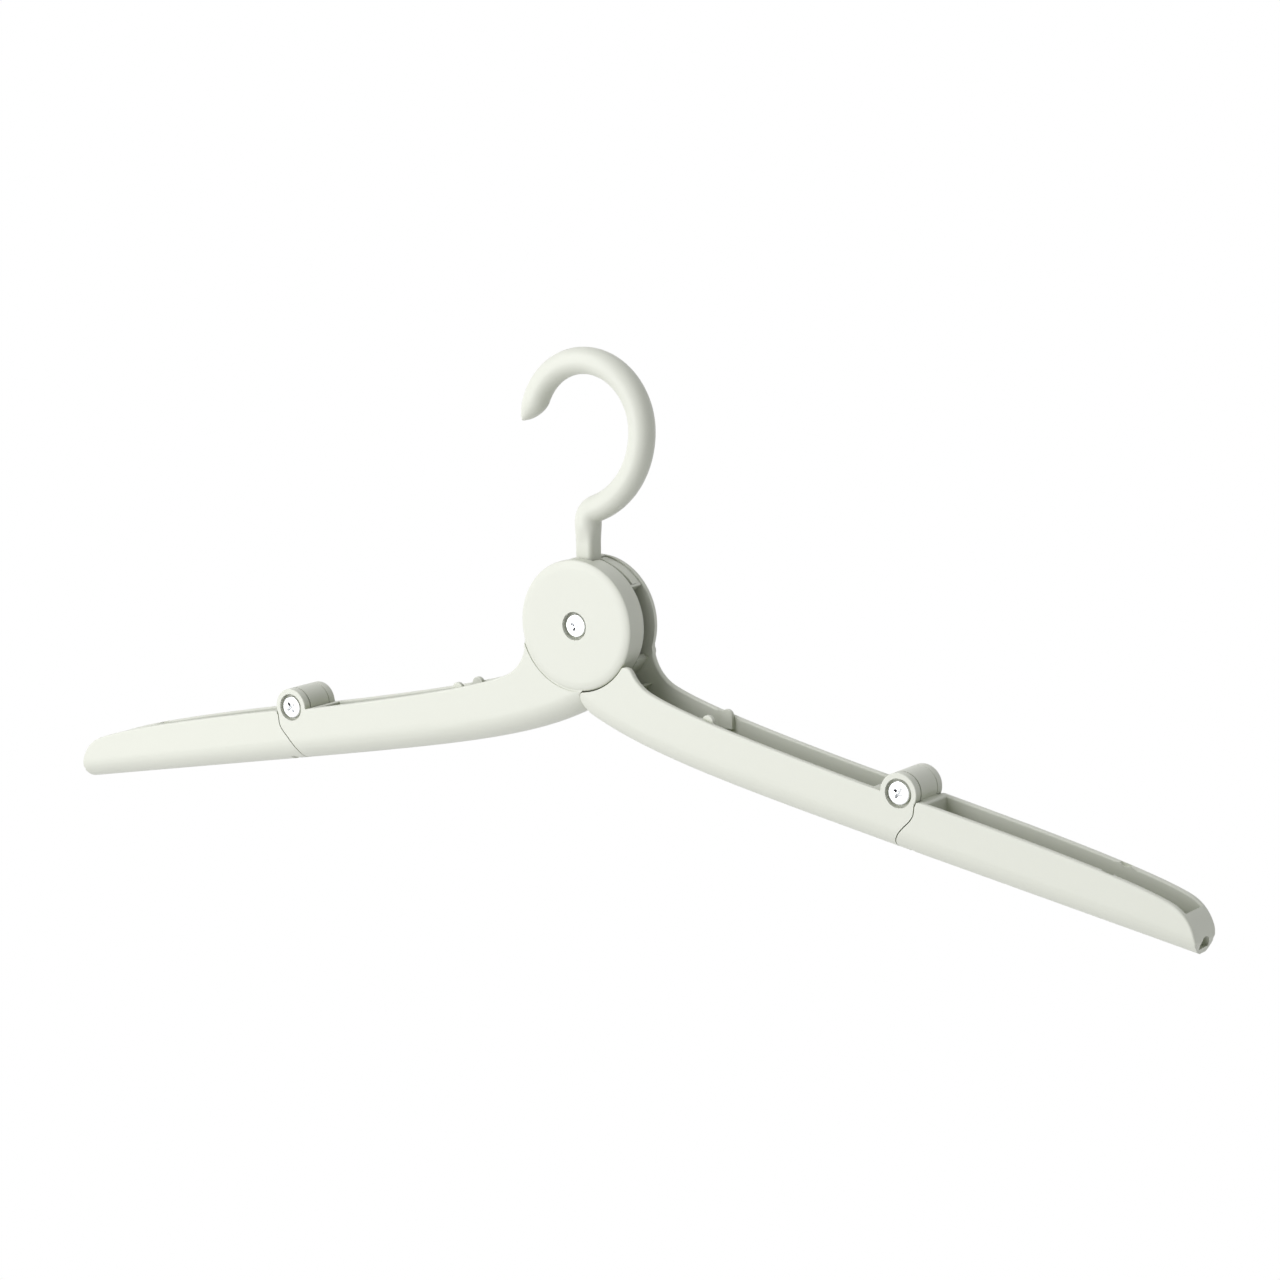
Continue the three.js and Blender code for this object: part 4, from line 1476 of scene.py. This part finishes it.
@dataclass
class ScrewJoint:
    """A screw in its recess and the sleeve nut that it goes into."""

    layout: Layout
    head_radius: float = 3.2 * MM
    head_thickness: float = 0.7 * MM
    head_dome: float = 0.35 * MM
    screw_radius: float = 1.2 * MM
    sleeve_radius: float = 2.3 * MM
    flange: float = 0.8 * MM
    cross_width: float = 0.85 * MM
    cross_length: float = 4.2 * MM
    cross_depth: float = 1.2 * MM
    cross_length_share: float = 0.5
    cross_width_share: float = 0.8
    cross_turns: tuple[float, float, float] = (math.radians(20), math.radians(35), math.radians(50))
    slot_width: float = 0.9 * MM
    head_sides: int = 72
    sleeve_sides: int = 48
    shank_sides: int = 32
    dome_faces: int = 5
    flange_faces: int = 3

    def _tapered_bar(self, length: float, width: float, level: float, depth: float,
                     turn: float) -> bpy.types.Object:
        """A bar that narrows inwards, to cut one arm of a driver's recess.

        Args:
            length: Across the head.
            width: Width at the face.
            level: Where the face is.
            depth: How deep it goes, towards +Y.
            turn: Turn about Y.

        Returns:
            A tool to cut with.
        """
        Bench.clear()
        bpy.ops.mesh.primitive_cube_add(size=1, location=(0, level + depth / 2 - MM / 2, 0))
        bar = bpy.context.object
        bar.scale = (length, depth + MM, width)
        Bench.settle(bar)
        for vertex in bar.data.vertices:
            if vertex.co.y > level:
                vertex.co.x *= self.cross_length_share
                vertex.co.z *= self.cross_width_share
        bar.rotation_euler = (0, turn, 0)
        return Bench.settle(bar)

    def build_screw(self, name: str, seat: float, centre: Vector, body: str, turn: float) -> None:
        """Models a screw with a domed head and a cross recess.

        Args:
            name: The frame's node.
            seat: Depth of the recess's floor from the middle.
            centre: Axis as X and Z.
            body: The body it moves with.
            turn: How the cross is turned about the axis.
        """
        gap = self.layout.gap
        under = seat + gap
        edge = under + self.head_thickness
        screw = Bench.disc(self.head_radius, -edge - self.head_dome, -under, sides=self.head_sides)
        Bench.bevel(screw, lambda points: all(point.y < -edge for point in points), self.head_dome,
                    self.dome_faces)
        shank = Bench.disc(self.screw_radius, -under - gap, seat - 2 * gap, sides=self.shank_sides)
        screw = Bench.combine(screw, shank, Bool.JOIN)
        for quarter in (0, 1):
            bar = self._tapered_bar(self.cross_length, self.cross_width, -edge - self.head_dome,
                                    self.cross_depth, turn + quarter * math.pi / 2)
            screw = Bench.combine(screw, bar, Bool.CUT)
        Bench.smooth(screw)
        screw.name = f"{name}_plated"
        Bench.place(screw, 0.0, self.layout, centre)
        CHROME_PLATE.dress(screw, body, name)

    def build_sleeve(self, name: str, seat: float, centre: Vector, body: str) -> None:
        """Models a sleeve nut with a slotted flange.

        Args:
            name: The frame's node.
            seat: Depth of the recess's floor from the middle.
            centre: Axis as X and Z.
            body: The body it moves with.
        """
        gap = self.layout.gap
        under = seat + gap
        top = under + self.flange
        nut = Bench.disc(self.head_radius, under, top, sides=self.head_sides)
        Bench.bevel(nut, lambda points: all(point.y > under + gap for point in points), gap / 2,
                    self.flange_faces)
        sleeve = Bench.disc(self.sleeve_radius, -seat, under + gap, sides=self.sleeve_sides)
        nut = Bench.combine(nut, sleeve, Bool.JOIN)
        bore = Bench.disc(self.screw_radius + gap, -seat - MM, seat - gap, sides=self.sleeve_sides)
        nut = Bench.combine(nut, bore, Bool.CUT)
        keep = self.slot_width / 2
        reach = self.head_radius * 3
        corners = ((-reach, -keep), (reach, -keep), (reach, keep), (-reach, keep))
        slot = Bench.slab([Vector(corner) for corner in corners], top - self.flange / 2, top + MM)
        nut = Bench.combine(nut, slot, Bool.CUT)
        Bench.smooth(nut)
        nut.name = f"{name}_plated"
        Bench.place(nut, 0.0, self.layout, centre)
        CHROME_PLATE.dress(nut, body, name)

    def build(self) -> None:
        """Models the fasteners of the hub and of both hinges."""
        layout = self.layout
        hub_seat = layout.head_face - layout.hub_recess
        hinge_seat = layout.side - layout.hinge_recess
        left = Vector((-layout.hinge.x, layout.hinge.y))
        joints = (
            ("hub", hub_seat, Vector((0, 0)), "hook"),
            ("right_hinge", hinge_seat, layout.hinge, "right_inner"),
            ("left_hinge", hinge_seat, left, "left_inner"),
        )
        for (name, seat, centre, body), turn in zip(joints, self.cross_turns):
            self.build_screw(f"{name}_screw", seat, centre, body, turn)
            self.build_sleeve(f"{name}_sleeve_nut", seat, centre, body)


class Washers:
    """The two washers inside the hub, which keep the frame's own shape."""

    @staticmethod
    def dress() -> None:
        """Gives each washer its finish."""
        for side in Side:
            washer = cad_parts[f"{side.label}_hub_washer"]
            washer.data.materials.clear()
            washer.data.materials.append(NATURAL_NYLON.material())
            log.info("%s: kept from the frame", washer.name)


@dataclass
class Studio:
    """Camera, lights, floor and background."""

    layout: Layout
    azimuth: float = math.radians(34.59)
    elevation: float = math.radians(10.8)
    roll: float = math.radians(-0.55)
    distance: float = 985.4 * MM
    shift_right: float = -13.99 * MM
    shift_down: float = -5.11 * MM
    lens: float = 99.71
    sensor: float = 36.0
    nearest: float = 10 * MM
    key_place: tuple[float, float, float] = (-0.6, -0.85, 0.8)
    key_watts: float = 7.0
    front_place: tuple[float, float, float] = (-0.55, -1.15, 0.0)
    front_watts: float = 6.2
    lamp_size: float = 0.8
    sky_colour: tuple[float, float, float] = (0.95, 0.97, 0.93)
    sky_strength: float = 0.43
    floor_colour: tuple[float, float, float] = (0.9, 0.9, 0.89)
    floor_roughness: float = 0.7
    floor_drop: float = 0.75
    floor_size: float = 8.0

    def camera(self) -> None:
        """Sets the camera where the photograph was taken from."""
        a, e = self.azimuth, self.elevation
        right = Vector((math.cos(a), math.sin(a), 0))
        up = Vector((-math.sin(a) * math.sin(e), math.cos(a) * math.sin(e), math.cos(e)))
        ahead = Vector((-math.sin(a) * math.cos(e), math.cos(a) * math.cos(e), -math.sin(e)))
        place = -right * self.shift_right + up * self.shift_down - ahead * self.distance
        data = bpy.data.cameras.new("camera")
        data.lens = self.lens
        data.sensor_width = self.sensor
        data.clip_start = self.nearest
        camera = bpy.data.objects.new("camera", data)
        bpy.context.scene.collection.objects.link(camera)
        camera.location = place - Vector((0, 0, self.layout.hang_height))
        camera.rotation_mode = "QUATERNION"
        camera.rotation_quaternion = ahead.to_track_quat("-Z", "Y") @ Quaternion((0, 0, 1), self.roll)
        bpy.context.scene.camera = camera

    def _lamp(self, name: str, place: Vector, watts: float) -> None:
        """Adds a square area lamp that points at the hub.

        Args:
            name: Its name.
            place: Where it stands.
            watts: Its power.
        """
        aim = Vector((0, 0, -self.layout.hang_height))
        data = bpy.data.lights.new(name, "AREA")
        data.size = self.lamp_size
        data.energy = watts
        lamp = bpy.data.objects.new(name, data)
        bpy.context.scene.collection.objects.link(lamp)
        lamp.location = place
        lamp.rotation_mode = "QUATERNION"
        lamp.rotation_quaternion = (aim - place).to_track_quat("-Z", "Y")

    def lights(self) -> None:
        """Adds a high key from the left and a low soft lamp from the front."""
        self._lamp("key", Vector(self.key_place), self.key_watts)
        self._lamp("front", Vector(self.front_place), self.front_watts)

    def _white_to_camera(self, tree: bpy.types.NodeTree, seen: bpy.types.NodeSocket,
                         lit: bpy.types.NodeSocket, out: bpy.types.NodeSocket) -> None:
        """Shows white to the camera and in reflections, and leaves the light as it is.

        Args:
            tree: The nodes of the world or of the floor's material.
            seen: What the camera and reflections show.
            lit: What lights the hanger.
            out: The output's surface socket.
        """
        path = tree.nodes.new("ShaderNodeLightPath")
        either = tree.nodes.new("ShaderNodeMath")
        either.operation = "MAXIMUM"
        any_of = tree.nodes.new("ShaderNodeMath")
        any_of.operation = "MAXIMUM"
        mix = tree.nodes.new("ShaderNodeMixShader")
        tree.links.new(path.outputs["Is Camera Ray"], either.inputs[0])
        tree.links.new(path.outputs["Is Glossy Ray"], either.inputs[1])
        tree.links.new(either.outputs[0], any_of.inputs[0])
        tree.links.new(path.outputs["Is Transmission Ray"], any_of.inputs[1])
        tree.links.new(any_of.outputs[0], mix.inputs["Fac"])
        tree.links.new(lit, mix.inputs[1])
        tree.links.new(seen, mix.inputs[2])
        tree.links.new(mix.outputs[0], out)

    def background(self) -> None:
        """Sets a white background that lights the hanger evenly but weakly."""
        world = bpy.data.worlds.new("studio")
        bpy.context.scene.world = world
        world.use_nodes = True
        tree = world.node_tree
        lit = tree.nodes["Background"]
        lit.inputs["Color"].default_value = (*self.sky_colour, 1)
        lit.inputs["Strength"].default_value = self.sky_strength
        white = tree.nodes.new("ShaderNodeBackground")
        white.inputs["Color"].default_value = (1, 1, 1, 1)
        out = tree.nodes["World Output"].inputs["Surface"]
        self._white_to_camera(tree, white.outputs[0], lit.outputs[0], out)

    def floor(self) -> None:
        """Lays a plain pale floor well below the hanging hanger."""
        Bench.clear()
        bpy.ops.mesh.primitive_plane_add(size=self.floor_size, location=(0, 0, -self.floor_drop))
        floor = bpy.context.object
        floor.name = "floor"
        material = bpy.data.materials.new("pale_floor")
        material.use_nodes = True
        tree = material.node_tree
        shader = tree.nodes["Principled BSDF"]
        shader.inputs["Base Color"].default_value = (*self.floor_colour, 1)
        shader.inputs["Roughness"].default_value = self.floor_roughness
        white = tree.nodes.new("ShaderNodeEmission")
        out = tree.nodes["Material Output"].inputs["Surface"]
        self._white_to_camera(tree, white.outputs[0], shader.outputs[0], out)
        floor.data.materials.append(material)

    def build(self) -> None:
        """Sets up the whole studio."""
        bpy.context.scene.view_settings.view_transform = "Standard"
        self.camera()
        self.lights()
        self.background()
        self.floor()


def main() -> None:
    """Builds the hanger, piece by piece, and the studio round it."""
    logging.basicConfig(level=logging.INFO, format="%(name)s: %(message)s")
    layout = Layout()
    Studio(layout).build()
    Hook(layout).build()
    for side in Side:
        InnerArm(layout).build(side)
        OuterArm(layout).build(side)
    ScrewJoint(layout).build()
    Washers.dress()


if __name__ == "__main__":
    main()
